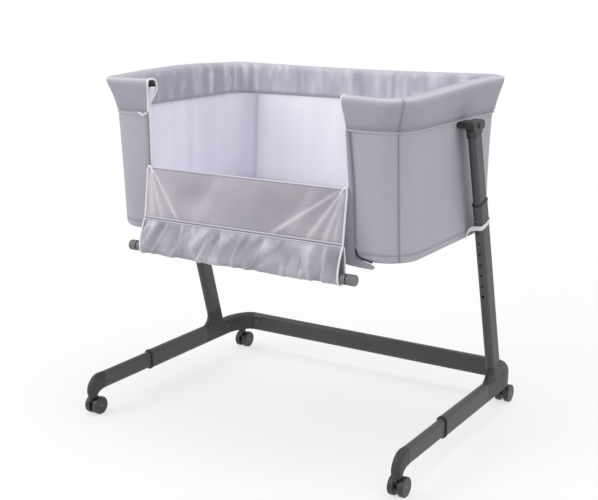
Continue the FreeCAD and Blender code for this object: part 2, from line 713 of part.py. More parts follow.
def make_foot_elbow():
    """Turns the foot down onto the front caster and narrows to a round leg, with a plug."""
    body = new_body("foot_elbow")
    drop = d.frame_height - d.caster_top
    width, height = inner_width + 2 * d.elbow_proud, inner_height + 2 * d.elbow_proud
    seam = new_sketch(body, "XZ_Plane", offset=-d.inner_front_y)
    slot(seam, width, height)
    pad(body, seam, d.inner_front_y - front_swivel_y - drop)
    sections = []
    for angle, tall, wide in ((0.0, height, width), (30.0, 1.02 * height, width + 0.8),
                              (60.0, 0.85 * height, width + 2.2),
                              (90.0, d.leg_diameter + 0.6, d.leg_diameter)):
        section = new_sketch(body, "XY_Plane", turn=angle - 90.0)
        away, down = math.sin(math.radians(angle)), 1 - math.cos(math.radians(angle))
        bind(section, "AttachmentOffset.Base.y", front_swivel_y + drop * (1 - away))
        bind(section, "AttachmentOffset.Base.z", -drop * down)
        slot(section, wide, tall)
        sections.append(section)
    loft(body, sections).Ruled = False
    plug = new_sketch(body, "XZ_Plane", offset=-d.inner_front_y)
    slot(plug, inner_width - 2 * d.tube_wall - 2 * d.spigot_gap,
         inner_height - 2 * d.tube_wall - 2 * d.spigot_gap)
    pad(body, plug, d.spigot_length, reverse=True)
    bore = new_sketch(body, "XY_Plane", offset=-drop)
    circle(bore, d.stem_radius + d.running_gap, 0.0, front_swivel_y)
    pocket(body, bore, d.stem_length + d.side_gap, reverse=True)
    pair("foot_elbow", place(body, foot_x, 0.0, d.frame_height))


def make_foot_button():
    body = new_body("foot_button")
    reach = inner_height / 2
    for radius, top, length in (
            (d.button_radius, -reach + d.tube_wall + d.button_seat,
             d.tube_wall + d.button_seat - d.button_sink),
            (d.button_flange, -reach + d.tube_wall + d.button_seat + d.leaf_thickness,
             d.leaf_thickness)):
        sketch = new_sketch(body, "XY_Plane", offset=top)
        circle(sketch, radius, 0.0, d.foot_button_y)
        pad(body, sketch, length, reverse=True)
    leaf_top = -reach + d.tube_wall + d.button_seat + d.leaf_thickness
    leaf = new_sketch(body, "XY_Plane", offset=leaf_top)
    slot(leaf, d.leaf_width, d.leaf_length, 0.0, d.foot_button_y + d.leaf_length / 2 - d.leaf_width / 2)
    pad(body, leaf, d.leaf_thickness, reverse=True)
    pair("foot_button", place(body, foot_x, 0.0, d.frame_height))


make_inner_foot()
make_foot_elbow()
make_foot_button()


# ---------------------------------------------------------------- casters


def make_caster(end, x, swivel_y):
    """One twin-wheel caster, for the front or rear end, with its swivel axis at (x, swivel_y)."""
    axle_y = d.caster_trail
    web_half = d.fork_width / 2
    wheel_start = web_half + d.side_gap
    hood_inner = d.wheel_radius + 0.9
    axle_z, top_z = d.wheel_radius, d.caster_top - d.side_gap
    pin_half = wheel_start + d.wheel_width

    housing = new_body(f"housing_{end}")
    boss = new_sketch(housing, "YZ_Plane")
    circle(boss, d.hub_boss, axle_y, axle_z)
    pad(housing, boss, d.fork_width, midplane=True)
    web = new_sketch(housing, "YZ_Plane", offset=-web_half)
    ay, az, r, t = number_of(axle_y), number_of(axle_z), number_of(d.hub_boss), number_of(top_z)
    c = number_of(d.collar_radius)
    corners = ((ay - r, az), (ay + r, az), (ay + r, az + 12.0), (c, t - 2.0), (c, t), (-c, t),
               (-c, t - 10.0))
    lines = [web.addGeometry(Part.LineSegment(Vector(*a, 0), Vector(*b, 0)))
             for a, b in zip(corners, corners[1:] + corners[:1])]
    for first, second in zip(lines, lines[1:] + lines[:1]):
        web.addConstraint(Sketcher.Constraint("Coincident", first, 2, second, 1))
    spots = ((axle_y - d.hub_boss, axle_z), (axle_y + d.hub_boss, axle_z),
             (axle_y + d.hub_boss, axle_z + 12.0), (d.collar_radius, top_z - 2.0),
             (d.collar_radius, top_z), (-d.collar_radius, top_z), (-d.collar_radius, top_z - 10.0))
    for line, (y, z) in zip(lines, spots):
        coordinate(web, line, 1, y, z)
    pad(housing, web, d.fork_width)
    collar = new_sketch(housing, "XY_Plane", offset=top_z)
    circle(collar, d.collar_radius)
    pad(housing, collar, top_z - 2 * d.wheel_radius - d.side_gap, reverse=True)
    stem_bore = new_sketch(housing, "XY_Plane", offset=top_z)
    circle(stem_bore, d.stem_radius)
    pocket(housing, stem_bore, d.stem_seat)
    axle_bore = new_sketch(housing, "YZ_Plane")
    circle(axle_bore, d.axle_radius, axle_y, axle_z)
    pocket(housing, axle_bore, d.fork_width + 2.0, midplane=True)
    pair(f"caster_{end}_housing", place(housing, x, swivel_y, 0.0))

    stem = cylinder(f"stem_{end}", d.stem_radius, (x, swivel_y, top_z - d.stem_seat),
                    d.stem_seat + d.stem_length, "Z")
    axle = cylinder(f"axle_{end}", d.axle_radius, (x - pin_half, swivel_y + axle_y, axle_z),
                    2 * pin_half, "X")
    pair(f"caster_{end}_pins", group(f"pins_{end}", stem, axle))

    for side, start in (("outer", wheel_start), ("inner", -wheel_start - d.wheel_width)):
        wheel = new_body(f"wheel_{end}_{side}")
        tread = new_sketch(wheel, "YZ_Plane")
        circle(tread, d.wheel_radius)
        circle(tread, d.axle_radius + d.running_gap)
        rolled = pad(wheel, tread, d.wheel_width)
        round_edges(wheel, rolled, d.wheel_edge, circles_of(d.wheel_radius))
        pair(f"caster_{end}_wheel_{side}", place(wheel, x + start, swivel_y + axle_y, axle_z))


make_caster("front", foot_x, front_swivel_y)
make_caster("rear", rear_caster_x, d.rear_swivel)


# ---------------------------------------------------------------- risers and their heads


def make_riser():
    body = new_body("riser")
    stadium_tube(body, "XY_Plane", riser_width, riser_depth, d.tube_wall, d.riser_low, neck_low)
    hole = new_sketch(body, "XZ_Plane", offset=riser_depth / 2 + 1.0)
    circle(hole, d.hole_radius, 0.0, d.hole_first)
    pocket(body, hole, d.tube_wall + 4.0)
    pair("riser", on_column(body))


def make_riser_head():
    """Level block on the riser, with a collar and plug below and an arm to the end post."""
    body = new_body("riser_head")
    block = new_sketch(body, "YZ_Plane")
    middle = (d.head_low + d.head_top) / 2 - d.frame_height
    rounded_bar(block, d.head_front_y, d.head_back_y, middle, d.head_top - d.head_low)
    solid = pad(body, block, d.head_width, midplane=True)
    round_edges(body, solid, d.head_edge, edges_in_plane("X", d.head_width.number / 2))
    for width, depth, low, high in (
            (d.head_width, riser_depth + 2 * d.neck_proud, neck_low, head_seat),
            (riser_width - 2 * d.tube_wall - 2 * d.spigot_gap,
             riser_depth - 2 * d.tube_wall - 2 * d.spigot_gap, neck_low - d.spigot_length, head_seat)):
        sketch = new_sketch(body, "XY_Plane", turn=d.lean)
        sketch.setExpression("AttachmentOffset.Base.y", (d.column_foot_y - sine(d.lean) * low).text)
        sketch.setExpression("AttachmentOffset.Base.z", (cosine(d.lean) * low).text)
        slot(sketch, width, depth)
        pad(body, sketch, high - low)
    arm = new_sketch(body, "YZ_Plane")
    rounded_bar(arm, d.arm_front_y, d.arm_back_y, middle, d.arm_height)
    pad(body, arm, foot_x - post_outer_x, reverse=True)
    bore = new_sketch(body, "YZ_Plane")
    circle(bore, d.bolt_radius + d.spigot_gap, d.bolt_y, d.bolt_z - d.frame_height)
    pocket(body, bore, 4 * foot_x, midplane=True)
    pair("riser_head", place(body, foot_x, 0.0, d.frame_height))


def make_head_bolts():
    outer = foot_x + d.head_width / 2
    post_inner_x = post_outer_x - d.post_thickness
    shank = cylinder("bolt_shank", d.bolt_radius, (post_inner_x + 1.0, d.bolt_y, d.bolt_z),
                     outer - post_inner_x - 1.0, "X")
    head = cylinder("bolt_head", d.bolt_head_radius, (outer, d.bolt_y, d.bolt_z),
                    d.bolt_head_height, "X")
    bolt = fuse("bolt", shank, head)
    part("head_bolts", group("head_bolts", bolt, mirrored("bolt_left", bolt)))


def make_height_button():
    """Lock button in the riser, under the column's uppermost hole."""
    body = new_body("height_button")
    reach = riser_depth / 2
    for radius, depth, length in (
            (d.button_radius, reach - d.tube_wall - d.button_seat,
             d.tube_wall + d.button_seat - d.button_sink),
            (d.button_flange, reach - d.tube_wall - d.button_seat - d.leaf_thickness,
             d.leaf_thickness)):
        sketch = new_sketch(body, "XZ_Plane", offset=depth)
        circle(sketch, radius, 0.0, d.hole_first)
        pad(body, sketch, length)
    leaf = new_sketch(body, "XZ_Plane", offset=reach - d.tube_wall - d.button_seat - d.leaf_thickness)
    slot(leaf, d.leaf_width, d.leaf_length, 0.0, d.hole_first - d.leaf_length / 2 + d.leaf_width / 2)
    pad(body, leaf, d.leaf_thickness)
    pair("height_button", on_column(body))


neck_low = (d.head_low - d.frame_height) / cosine(d.lean) - d.neck_length
head_seat = neck_low + d.neck_length + 8.0
post_outer_x = rim_tube_half_x + d.post_thickness / 2
make_riser()
make_riser_head()
make_head_bolts()
make_height_button()


# ---------------------------------------------------------------- bassinet frame


def make_end_posts():
    """Flat bars up both ends, between the lower ring and the rim tube, with the bolt's thread."""
    bar = box("post_bar", (post_outer_x - d.post_thickness, post_outer_x),
              (d.bolt_y - d.post_width / 2, d.bolt_y + d.post_width / 2), (d.ring_z, d.rim_tube_z))
    reach = d.post_width + 20.0
    tools = [cylinder(f"post_{name}", radius, (x, d.bolt_y - reach / 2, z), reach, "Y")
             for name, radius, x, z in (("ring", d.ring_radius, ring_half_x, d.ring_z),
                                        ("rim", d.rim_tube_radius, rim_tube_half_x, d.rim_tube_z))]
    tools.append(cylinder("post_thread", d.bolt_radius,
                          (post_outer_x - d.post_thickness - 1.0, d.bolt_y, d.bolt_z), Size(8.0, "8"), "X"))
    post = cut("end_post", bar, fuse("post_tools", *tools))
    part("end_posts", group("end_posts", post, mirrored("end_post_left", post)))


def make_rim_frame_tube():
    """Round tube round the rim, open across the bed side, so its two ends show."""
    body = new_body("rim_frame_tube")
    path = new_sketch(body, "XY_Plane")
    hx, hy, r = (number_of(v) for v in (rim_tube_half_x, d.rim_tube_half_y, d.rim_tube_corner))
    end = number_of(d.opening_half)
    arcs = [path.addGeometry(arc(Vector(x * (hx - r), y * (hy - r), 0), r, a, a + 90))
            for x, y, a in ((-1, -1, 180), (-1, 1, 90), (1, 1, 0), (1, -1, 270))]
    geometry = path.Geometry
    spans = ((Vector(-end, -hy, 0), geometry[arcs[0]].EndPoint),
             (geometry[arcs[0]].StartPoint, geometry[arcs[1]].EndPoint),
             (geometry[arcs[1]].StartPoint, geometry[arcs[2]].EndPoint),
             (geometry[arcs[2]].StartPoint, geometry[arcs[3]].EndPoint),
             (geometry[arcs[3]].StartPoint, Vector(end, -hy, 0)))
    lines = [path.addGeometry(Part.LineSegment(a, b)) for a, b in spans]
    for index, (line, bend) in enumerate(zip(lines, arcs)):
        path.addConstraint(Sketcher.Constraint("Tangent", line, 2, bend, 2))
        path.addConstraint(Sketcher.Constraint("Tangent", bend, 1, lines[index + 1], 1))
    for index in (1, 2, 3):
        path.addConstraint(Sketcher.Constraint("Equal", arcs[0], arcs[index]))
    for line, kind in zip(lines, ("Horizontal", "Vertical", "Horizontal", "Vertical")):
        path.addConstraint(Sketcher.Constraint(kind, line))
    fix(path, "radius", Sketcher.Constraint("Radius", arcs[0], r), d.rim_tube_corner)
    coordinate(path, lines[0], 1, -d.opening_half, -d.rim_tube_half_y)
    coordinate(path, lines[4], 2, d.opening_half, -d.rim_tube_half_y)
    coordinate(path, arcs[1], 3, d.rim_tube_corner - rim_tube_half_x,
               d.rim_tube_half_y - d.rim_tube_corner)
    fix(path, "right", Sketcher.Constraint("DistanceX", -1, 1, arcs[2], 3, hx - r),
        rim_tube_half_x - d.rim_tube_corner)
    profile = new_sketch(body, "YZ_Plane", offset=-d.opening_half)
    circle(profile, d.rim_tube_radius, -d.rim_tube_half_y, 0.0)
    circle(profile, d.rim_tube_radius - d.round_wall, -d.rim_tube_half_y, 0.0)
    pipe(body, profile, path)
    part("rim_frame_tube", place(body, 0.0, 0.0, d.rim_tube_z))


def make_lower_ring():
    body = new_body("lower_frame_tube")
    path = new_sketch(body, "XY_Plane")
    rounded_rectangle(path, ring_half_x, d.ring_half_y, d.ring_corner)
    for radius, hollow in ((d.ring_radius, False), (d.ring_radius - d.round_wall, True)):
        profile = new_sketch(body, "YZ_Plane", offset=ring_half_x - d.ring_corner)
        circle(profile, radius, -d.ring_half_y, 0.0)
        pipe(body, profile, path, cut=hollow)
    part("lower_frame_tube", place(body, 0.0, 0.0, d.ring_z))


def make_front_hoop():
    """Hoop up the bed side behind the fold line, standing on the lower ring."""
    body = new_body("front_hoop")
    rise = d.hoop_top - d.ring_z
    shift = d.hoop_y - d.ring_half_y
    height = root(rise * rise + shift * shift)
    path = new_sketch(body, "XZ_Plane")
    hx, hz, r = (number_of(v) for v in (d.hoop_half_x, height, d.hoop_bend))
    left = path.addGeometry(Part.LineSegment(Vector(-hx, 0, 0), Vector(-hx, hz - r, 0)))
    bend = path.addGeometry(arc(Vector(r - hx, hz - r, 0), r, 90, 180))
    top = path.addGeometry(Part.LineSegment(Vector(r - hx, hz, 0), Vector(hx - r, hz, 0)))
    turn = path.addGeometry(arc(Vector(hx - r, hz - r, 0), r, 0, 90))
    right = path.addGeometry(Part.LineSegment(Vector(hx, hz - r, 0), Vector(hx, 0, 0)))
    for first, a, second, b in ((left, 2, bend, 2), (bend, 1, top, 1), (top, 2, turn, 2),
                                (turn, 1, right, 1)):
        path.addConstraint(Sketcher.Constraint("Tangent", first, a, second, b))
    path.addConstraint(Sketcher.Constraint("Vertical", left))
    path.addConstraint(Sketcher.Constraint("Equal", bend, turn))
    fix(path, "radius", Sketcher.Constraint("Radius", bend, r), d.hoop_bend)
    coordinate(path, left, 1, -d.hoop_half_x, 0.0)
    coordinate(path, turn, 3, d.hoop_half_x - d.hoop_bend, height - d.hoop_bend)
    path.addConstraint(Sketcher.Constraint("PointOnObject", right, 2, -1))
    path.addConstraint(Sketcher.Constraint("Horizontal", top))
    profile = new_sketch(body, "XY_Plane")
    circle(profile, d.ring_radius, -d.hoop_half_x, 0.0)
    circle(profile, d.ring_radius - d.round_wall, -d.hoop_half_x, 0.0)
    pipe(body, profile, path)
    tilt = Size(math.degrees(math.atan2(shift.number, rise.number)),
                f"atan2({shift.text}; {rise.text})")
    place(body, 0.0, -d.ring_half_y, d.ring_z, turn=tilt)
    reach = d.hoop_half_x + 40.0
    tool = cylinder("hoop_saddle", d.ring_radius, (-reach, -d.ring_half_y, d.ring_z), 2 * reach, "X")
    part("front_hoop_tube", cut("front_hoop_tube", body, tool))


def make_mattress_board():
    """Board on the lower ring, notched round the end posts and the hoop's legs."""
    half_x, half_y = ring_half_x - 1.0, d.ring_half_y - 1.0
    body = new_body("board_blank")
    outline = new_sketch(body, "XY_Plane")
    rounded_rectangle(outline, half_x, half_y, d.ring_corner)
    pad(body, outline, d.board_thickness)
    place(body, 0.0, 0.0, board_low)
    gap = d.side_gap
    inner = post_outer_x - d.post_thickness - gap
    notches = []
    for side, low, high in (("right", inner, inner + 20.0), ("left", -inner - 20.0, -inner)):
        notches.append(box(f"post_notch_{side}", (low, high),
                           (d.bolt_y - d.post_width / 2 - gap, d.bolt_y + d.post_width / 2 + gap),
                           (board_low - 1.0, board_low + d.board_thickness + 1.0)))
    for side, x in (("right", d.hoop_half_x), ("left", -d.hoop_half_x)):
        notches.append(box(f"hoop_notch_{side}", (x - d.ring_radius - gap, x + d.ring_radius + gap),
                           (-d.ring_half_y - 20.0, -d.ring_half_y + d.ring_radius + gap),
                           (board_low - 1.0, board_low + d.board_thickness + 1.0)))
    part("mattress_board", cut("mattress_board", body, fuse("board_notches", *notches)))


board_low = d.ring_z + d.ring_radius
make_end_posts()
make_rim_frame_tube()
make_lower_ring()
make_front_hoop()
make_mattress_board()


# ---------------------------------------------------------------- soft goods


def tub(name, sections, corner):
    """A ruled solid through rounded rectangles; each section is (z, half length, half depth)."""
    body = new_body(name)
    sketches = []
    for z, half_x, half_y in sections:
        sketch = new_sketch(body, "XY_Plane", offset=z)
        rounded_rectangle(sketch, half_x, half_y, corner)
        sketches.append(sketch)
    loft(body, sketches)
    return body


def hemmed(low, top, half_x, inset, hem):
    """Sections of a wall, set in from the cover's outer face, with its bottom edge rounded."""
    sections = []
    for rise, back in ((0.0, 1.0), (0.13, 0.5), (0.5, 0.13), (1.0, 0.0)):
        z = low + hem * rise
        sections.append((z, half_x - inset - hem * back, cover_half_y(z) - inset - hem * back))
    return sections + [(top, half_x - inset, cover_half_y(top) - inset)]


def depth_at(low, low_half, top, top_half, z):
    """Half the depth of a wall that widens evenly between two heights, at the height z."""
    return low_half + (top_half - low_half) * (z - low) / (top - low)


def cover_half_y(z):
    return depth_at(d.body_low, d.body_low_half_y, d.cover_top, d.body_top_half_y, z)


def lining_half_y(z):
    return depth_at(lining_low, d.lining_low_half_y, lining_top, d.lining_top_half_y, z)


def opening_cut(name, base, half=None, low=None):
    """Cuts the bed-side opening, above the fold line, out of a piece."""
    half = half if half is not None else d.opening_half + d.facing_thickness
    low = low if low is not None else d.fold_height - d.facing_thickness
    tool = box(f"{name}_opening", (-half, half), (-(d.rim_half_y + 20.0), -(d.ring_half_y - 60.0)),
               (low, d.rim_top + 20.0))
    return cut(name, base, tool)


def make_cover_shell():
    outer = tub("cover_outer", hemmed(d.body_low, d.cover_top, d.body_half_x, Size(0.0, "0"),
                                      d.cover_hem), d.body_corner)
    inner = tub("cover_inner", hemmed(d.body_low + d.cover_wall, d.cover_top + 1.0, d.body_half_x,
                                      d.cover_wall, d.cover_hem - d.cover_wall),
                d.body_corner - d.cover_wall)
    shell = cut("cover_hollow", outer, inner)
    slit = box("arm_slit", (-foot_x, foot_x), (d.arm_front_y - 1.0, d.arm_back_y + 1.0),
               (d.head_middle - d.arm_height / 2 - 1.0, d.head_middle + d.arm_height / 2 + 1.0))
    part("cover_shell", opening_cut("cover_shell", cut("cover_slit", shell, slit)))


def make_lining():
    outer = tub("lining_outer", ((lining_low, lining_half_x, d.lining_low_half_y),
                                 (lining_top, lining_half_x, d.lining_top_half_y)), d.lining_corner)
    floor, wall = lining_low + d.lining_wall, d.lining_wall
    inner = tub("lining_inner", ((floor, lining_half_x - wall, lining_half_y(floor) - wall),
                                 (lining_top + 1.0, lining_half_x - wall,
                                  lining_half_y(lining_top + 1.0) - wall)), d.lining_corner - wall)
    part("lining", opening_cut("lining", cut("lining_hollow", outer, inner)))


def make_rim_band():
    """Padded band folded over the rim tube: an upside-down U in section, open at the bed side."""
    shoulder = d.rim_top - d.rim_round
    hem_x, hem_y = d.body_half_x + d.soft_gap + d.band_flap, cover_half_y(d.hem_height) + d.band_flap
    outer = tub("band_outer", ((d.hem_height, hem_x, hem_y + 2 * d.soft_gap),
                               (shoulder, rim_half_x, d.rim_half_y),
                               (d.rim_top - d.rim_round / 4, rim_half_x - d.rim_round / 3,
                                d.rim_half_y - d.rim_round / 3),
                               (d.rim_top, rim_half_x - d.rim_round, d.rim_half_y - d.rim_round)),
                d.rim_corner)
    inner_x, inner_y = band_inner_x, band_inner_y
    inner_corner = d.lining_corner - d.lining_wall - 2 * d.soft_gap - d.band_flap
    hole = tub("band_hole", ((d.hem_height - 1.0, inner_x, inner_y),
                             (d.rim_top - d.rim_round, inner_x, inner_y),
                             (d.rim_top + 1.0, inner_x + d.rim_round, inner_y + d.rim_round)),
               inner_corner)
    cavity_top = d.rim_tube_z + d.rim_tube_radius + d.soft_gap
    flap = d.band_flap
    cavity = tub("band_cavity", ((d.hem_height - 1.0, hem_x - flap, hem_y + 2 * d.soft_gap - flap),
                                 (cavity_top, rim_half_x - flap - 2.0, d.rim_half_y - flap - 2.0)),
                 d.rim_corner)
    island = tub("band_island", ((d.hem_height - 2.0, inner_x + flap, inner_y + flap),
                                 (cavity_top + 1.0, inner_x + flap, inner_y + flap)),
                 inner_corner + flap)
    hollow = cut("band_channel", cavity, island)
    ring = cut("band_ring", cut("band_wall", outer, hole), hollow)
    part("rim_band", opening_cut("rim_band", ring, half=d.opening_half))


def make_mattress():
    low = lining_low + d.lining_wall + d.soft_gap
    top = low + d.mattress_thickness
    edge = top - d.mattress_crown
    half_x = lining_half_x - d.lining_wall - 2.5
    half_y = lining_half_y(low) - d.lining_wall - 2.5
    pillow = tub("mattress", ((low, half_x - 7.0, half_y - 7.0), (low + 7.0, half_x, half_y),
                              (edge - 7.0, half_x, half_y), (edge, half_x - 7.0, half_y - 7.0),
                              (top - 3.0, half_x - 50.0, half_y - 40.0),
                              (top, half_x - 130.0, half_y - 100.0)), d.lining_corner - 5.0)
    part("mattress", pillow)


def make_opening_facing():
    """Strips that close the cut edges of the walls beside and below the opening."""
    t = d.facing_thickness - d.soft_gap
    low_z, top_z = d.fold_height - t, d.hem_height - 1.0
    side = new_body("facing_side")
    sketch = new_sketch(side, "YZ_Plane")
    spots = ((-cover_half_y(low_z) + 1.0, low_z + d.facing_thickness),
             (-lining_half_y(low_z) + d.lining_wall, low_z + d.facing_thickness),
             (-lining_half_y(top_z) + d.lining_wall, top_z), (-cover_half_y(top_z) + 1.0, top_z))
    numbers = [Vector(number_of(y), number_of(z), 0) for y, z in spots]
    lines = [sketch.addGeometry(Part.LineSegment(a, b))
             for a, b in zip(numbers, numbers[1:] + numbers[:1])]
    for line, following, (y, z) in zip(lines, lines[1:] + lines[:1], spots):
        sketch.addConstraint(Sketcher.Constraint("Coincident", line, 2, following, 1))
        coordinate(sketch, line, 1, y, z)
    pad(side, sketch, t)
    place(side, d.opening_half + d.soft_gap / 2, 0.0, 0.0)
    sill = box("sill", (-d.opening_half, d.opening_half),
               (d.fold_y + d.piping_radius + d.soft_gap, -lining_half_y(low_z) + d.lining_wall),
               (d.fold_height - t, d.fold_height))
    part("opening_facing", group("opening_facing", side, mirrored("facing_left", side), sill))


def make_zips():
    """Zip tapes and pulls up the cover's outer face, one beside each edge of the opening."""
    low_z, top_z = d.fold_height, d.hem_height - 2.0
    slope = Size(math.degrees(math.atan((d.body_top_half_y.number - d.body_low_half_y.number)
                                        / (d.cover_top.number - d.body_low.number))),
                 f"atan({(d.body_top_half_y - d.body_low_half_y).text}"
                 f" / {(d.cover_top - d.body_low).text})")
    made = []
    for name, width, height, start, thickness in (
            ("tape", d.tape_width, (top_z - low_z) / cosine(slope), 0.0, d.trim_thickness),
            ("pull", 5.0, 22.0, 4.0, d.trim_thickness)):
        strip = document.addObject("Part::Box", name)
        for prop, value in (("Length", width), ("Width", thickness), ("Height", height)):
            bind(strip, prop, value)
        out = d.trim_thickness + 0.05 if name == "tape" else 2 * d.trim_thickness + 0.1
        place(strip, d.opening_half + d.facing_thickness + (3.0 if name == "pull" else 0.0),
              -cover_half_y(low_z + start) - out, low_z + start, turn=slope)
        made += [strip, mirrored(f"{name}_left", strip)]
    part("zips", group("zips", *made))


def make_fold_piping():
    length = 2 * d.drop_half
    part("fold_piping", cylinder("fold_piping", d.piping_radius,
                                 (-d.drop_half, d.fold_y, d.fold_height), length, "X"))


def make_column_straps():
    """Webbing from each end of the cover round its column, so that the bassinet can't swing."""
    body = new_body("column_strap")
    inner_x = foot_x - d.body_half_x - d.soft_gap
    outer_half_y = d.column_depth / 2 + d.strap_gap + d.strap_thickness
    outer_x = d.column_width / 2 + d.strap_gap + d.strap_thickness
    loop = new_sketch(body, "XY_Plane", offset=d.strap_place)
    open_loop(loop, -inner_x, outer_x, outer_half_y, d.strap_thickness)
    pad(body, loop, d.strap_height, midplane=True)
    on_column(body)
    part("column_straps", group("column_straps", body, mirrored("column_strap_left", body)))


def open_loop(sketch, near, far, half, thickness):
    """A U of even thickness, open toward the sketch's -x."""
    t = number_of(thickness)
    n, f, h = number_of(near), number_of(far), number_of(half)
    r = h * 0.45
    rounding = half * 0.45
    shapes = []
    for inset, size in ((0.0, r), (t, r - t)):
        x, y = f - inset, h - inset
        shapes.append((Part.LineSegment(Vector(n, y, 0), Vector(f - r, y, 0)),
                       arc(Vector(f - r, h - r, 0), size, 0, 90),
                       Part.LineSegment(Vector(x, h - r, 0), Vector(x, r - h, 0)),
                       arc(Vector(f - r, r - h, 0), size, 270, 360),
                       Part.LineSegment(Vector(f - r, -y, 0), Vector(n, -y, 0))))
    ends = []
    for run, (inset, size) in zip(shapes, ((0.0, rounding), (thickness, rounding - thickness))):
        a, b, c, e, g = (sketch.addGeometry(item) for item in run)
        for first, p, second, q in ((a, 2, b, 2), (b, 1, c, 1), (c, 2, e, 2), (e, 1, g, 1)):
            sketch.addConstraint(Sketcher.Constraint("Tangent", first, p, second, q))
        fix(sketch, "bend", Sketcher.Constraint("Radius", b, number_of(size)), size)
        sketch.addConstraint(Sketcher.Constraint("Equal", b, e))
        coordinate(sketch, a, 1, near, half - inset)
        coordinate(sketch, g, 2, near, inset - half)
        fix(sketch, "reach", Sketcher.Constraint("DistanceX", -1, 1, b, 3, f - r), far - rounding)
        sketch.addConstraint(Sketcher.Constraint("Horizontal", a))
        ends.append((a, g))
    for point, (first, second) in ((1, (ends[0][0], ends[1][0])), (2, (ends[0][1], ends[1][1]))):
        start = sketch.getPoint(first, point)
        finish = sketch.getPoint(second, point)
        closing = sketch.addGeometry(Part.LineSegment(start, finish))
        sketch.addConstraint(Sketcher.Constraint("Coincident", first, point, closing, 1))
        sketch.addConstraint(Sketcher.Constraint("Coincident", second, point, closing, 2))


lining_low = board_low + d.board_thickness + d.soft_gap
lining_top = d.rim_tube_z - d.rim_tube_radius - 8.0
band_inner_x = lining_half_x - d.lining_wall - d.band_flap - 2 * d.soft_gap
band_inner_y = lining_half_y(d.hem_height) - d.lining_wall - d.band_flap - 2 * d.soft_gap
make_cover_shell()
make_lining()
make_rim_band()
make_mattress()
make_opening_facing()
make_zips()
make_fold_piping()
make_column_straps()


# ---------------------------------------------------------------- drop side


def on_fold(thing):
    """Hangs a piece that is drawn below the fold line, with the drop side's lean."""
    return place(thing, 0.0, d.fold_y, d.fold_height, turn=-d.drop_lean)


def on_rail(thing):
    """Puts a piece that is drawn about the x axis on the drop rail's centre line."""
    return place(thing, 0.0, d.fold_y - d.drop_length * sine(d.drop_lean),
                 d.fold_height - d.drop_length * cosine(d.drop_lean), turn=-d.drop_lean)


def make_drop_panel():
    body = new_body("drop_panel")
    sketch = new_sketch(body, "XY_Plane", offset=-d.piping_radius - d.soft_gap)
    side_to_side(sketch, d.drop_half, d.panel_thickness)
    pad(body, sketch, d.cuff_start - d.piping_radius - d.soft_gap, reverse=True)
    part("drop_panel", on_fold(body))


def side_to_side(sketch, half, thickness):
    """A thin rectangle about the sketch's origin, long along x."""
    h, t = number_of(half), number_of(thickness) / 2
    points = [Vector(x * h, y * t, 0) for x, y in ((-1, -1), (1, -1), (1, 1), (-1, 1))]
    lines = [sketch.addGeometry(Part.LineSegment(a, b))
             for a, b in zip(points, points[1:] + points[:1])]
    for first, second in zip(lines, lines[1:] + lines[:1]):
        sketch.addConstraint(Sketcher.Constraint("Coincident", first, 2, second, 1))
    for line, kind in zip(lines, ("Horizontal", "Vertical", "Horizontal", "Vertical")):
        sketch.addConstraint(Sketcher.Constraint(kind, line))
    coordinate(sketch, lines[0], 1, -half, thickness / -2)
    coordinate(sketch, lines[2], 1, half, thickness / 2)


def make_drop_cuff():
    """Fabric cuff gathered round the rail: a teardrop in section, with shallow folds across."""
    sleeve = new_body("drop_cuff")
    start = new_sketch(sleeve, "XY_Plane", offset=-d.cuff_start)
    side_to_side(start, d.drop_half, d.panel_thickness)
    wide = new_sketch(sleeve, "XY_Plane", offset=-d.drop_length)
    side_to_side(wide, d.drop_half, 2 * d.cuff_radius)
    loft(sleeve, [start, wide])
    tube = new_sketch(sleeve, "YZ_Plane", offset=-d.drop_half)
    circle(tube, d.cuff_radius, 0.0, -d.drop_length)
    pad(sleeve, tube, 2 * d.drop_half)
    bore = new_sketch(sleeve, "YZ_Plane", offset=-d.drop_half - 1.0)
    circle(bore, d.rail_radius + d.soft_gap, 0.0, -d.drop_length)
    pocket(sleeve, bore, 2 * d.drop_half + 2.0, reverse=True)
    spacing = 2 * d.drop_half / d.cuff_folds
    deep = d.cuff_radius + d.fold_radius - d.fold_depth
    fold = new_sketch(sleeve, "XY_Plane", offset=-d.cuff_start - 25.0)
    circle(fold, d.fold_radius, spacing / 2 - d.drop_half, -deep)
    crease = pocket(sleeve, fold, d.drop_length)
    pattern = sleeve.newObject("PartDesign::LinearPattern", "Folds")
    pattern.Originals = [crease]
    pattern.Direction = (fold, ["H_Axis"])
    bind(pattern, "Length", 2 * d.drop_half - spacing)
    bind(pattern, "Occurrences", d.cuff_folds)
    sleeve.Tip = pattern
    part("drop_cuff", on_fold(sleeve))


def make_drop_rail():
    body = new_body("drop_rail")
    ring = new_sketch(body, "YZ_Plane", offset=-d.rail_half)
    circle(ring, d.rail_radius)
    circle(ring, d.rail_radius - d.round_wall)
    pad(body, ring, 2 * d.rail_half)
    part("drop_rail", on_rail(body))


def make_rail_ferrules():
    """Plastic sleeves on the rail's ends, each with the hole its knob's plunger runs in."""
    body = new_body("ferrule")
    start = d.drop_half + d.side_gap
    shell = new_sketch(body, "YZ_Plane", offset=start)
    circle(shell, d.ferrule_radius)
    pad(body, shell, d.ferrule_end - start)
    socket = new_sketch(body, "YZ_Plane", offset=d.rail_half)
    circle(socket, d.rail_radius)
    pocket(body, socket, d.rail_half - start + 1.0)
    hole = new_sketch(body, "YZ_Plane", offset=d.ferrule_end + 1.0)
    circle(hole, d.knob_plunger + d.running_gap)
    pocket(body, hole, d.ferrule_end - d.rail_half + 2.0)
    on_rail(body)
    part("rail_ferrules", group("rail_ferrules", body, mirrored("ferrule_left", body)))


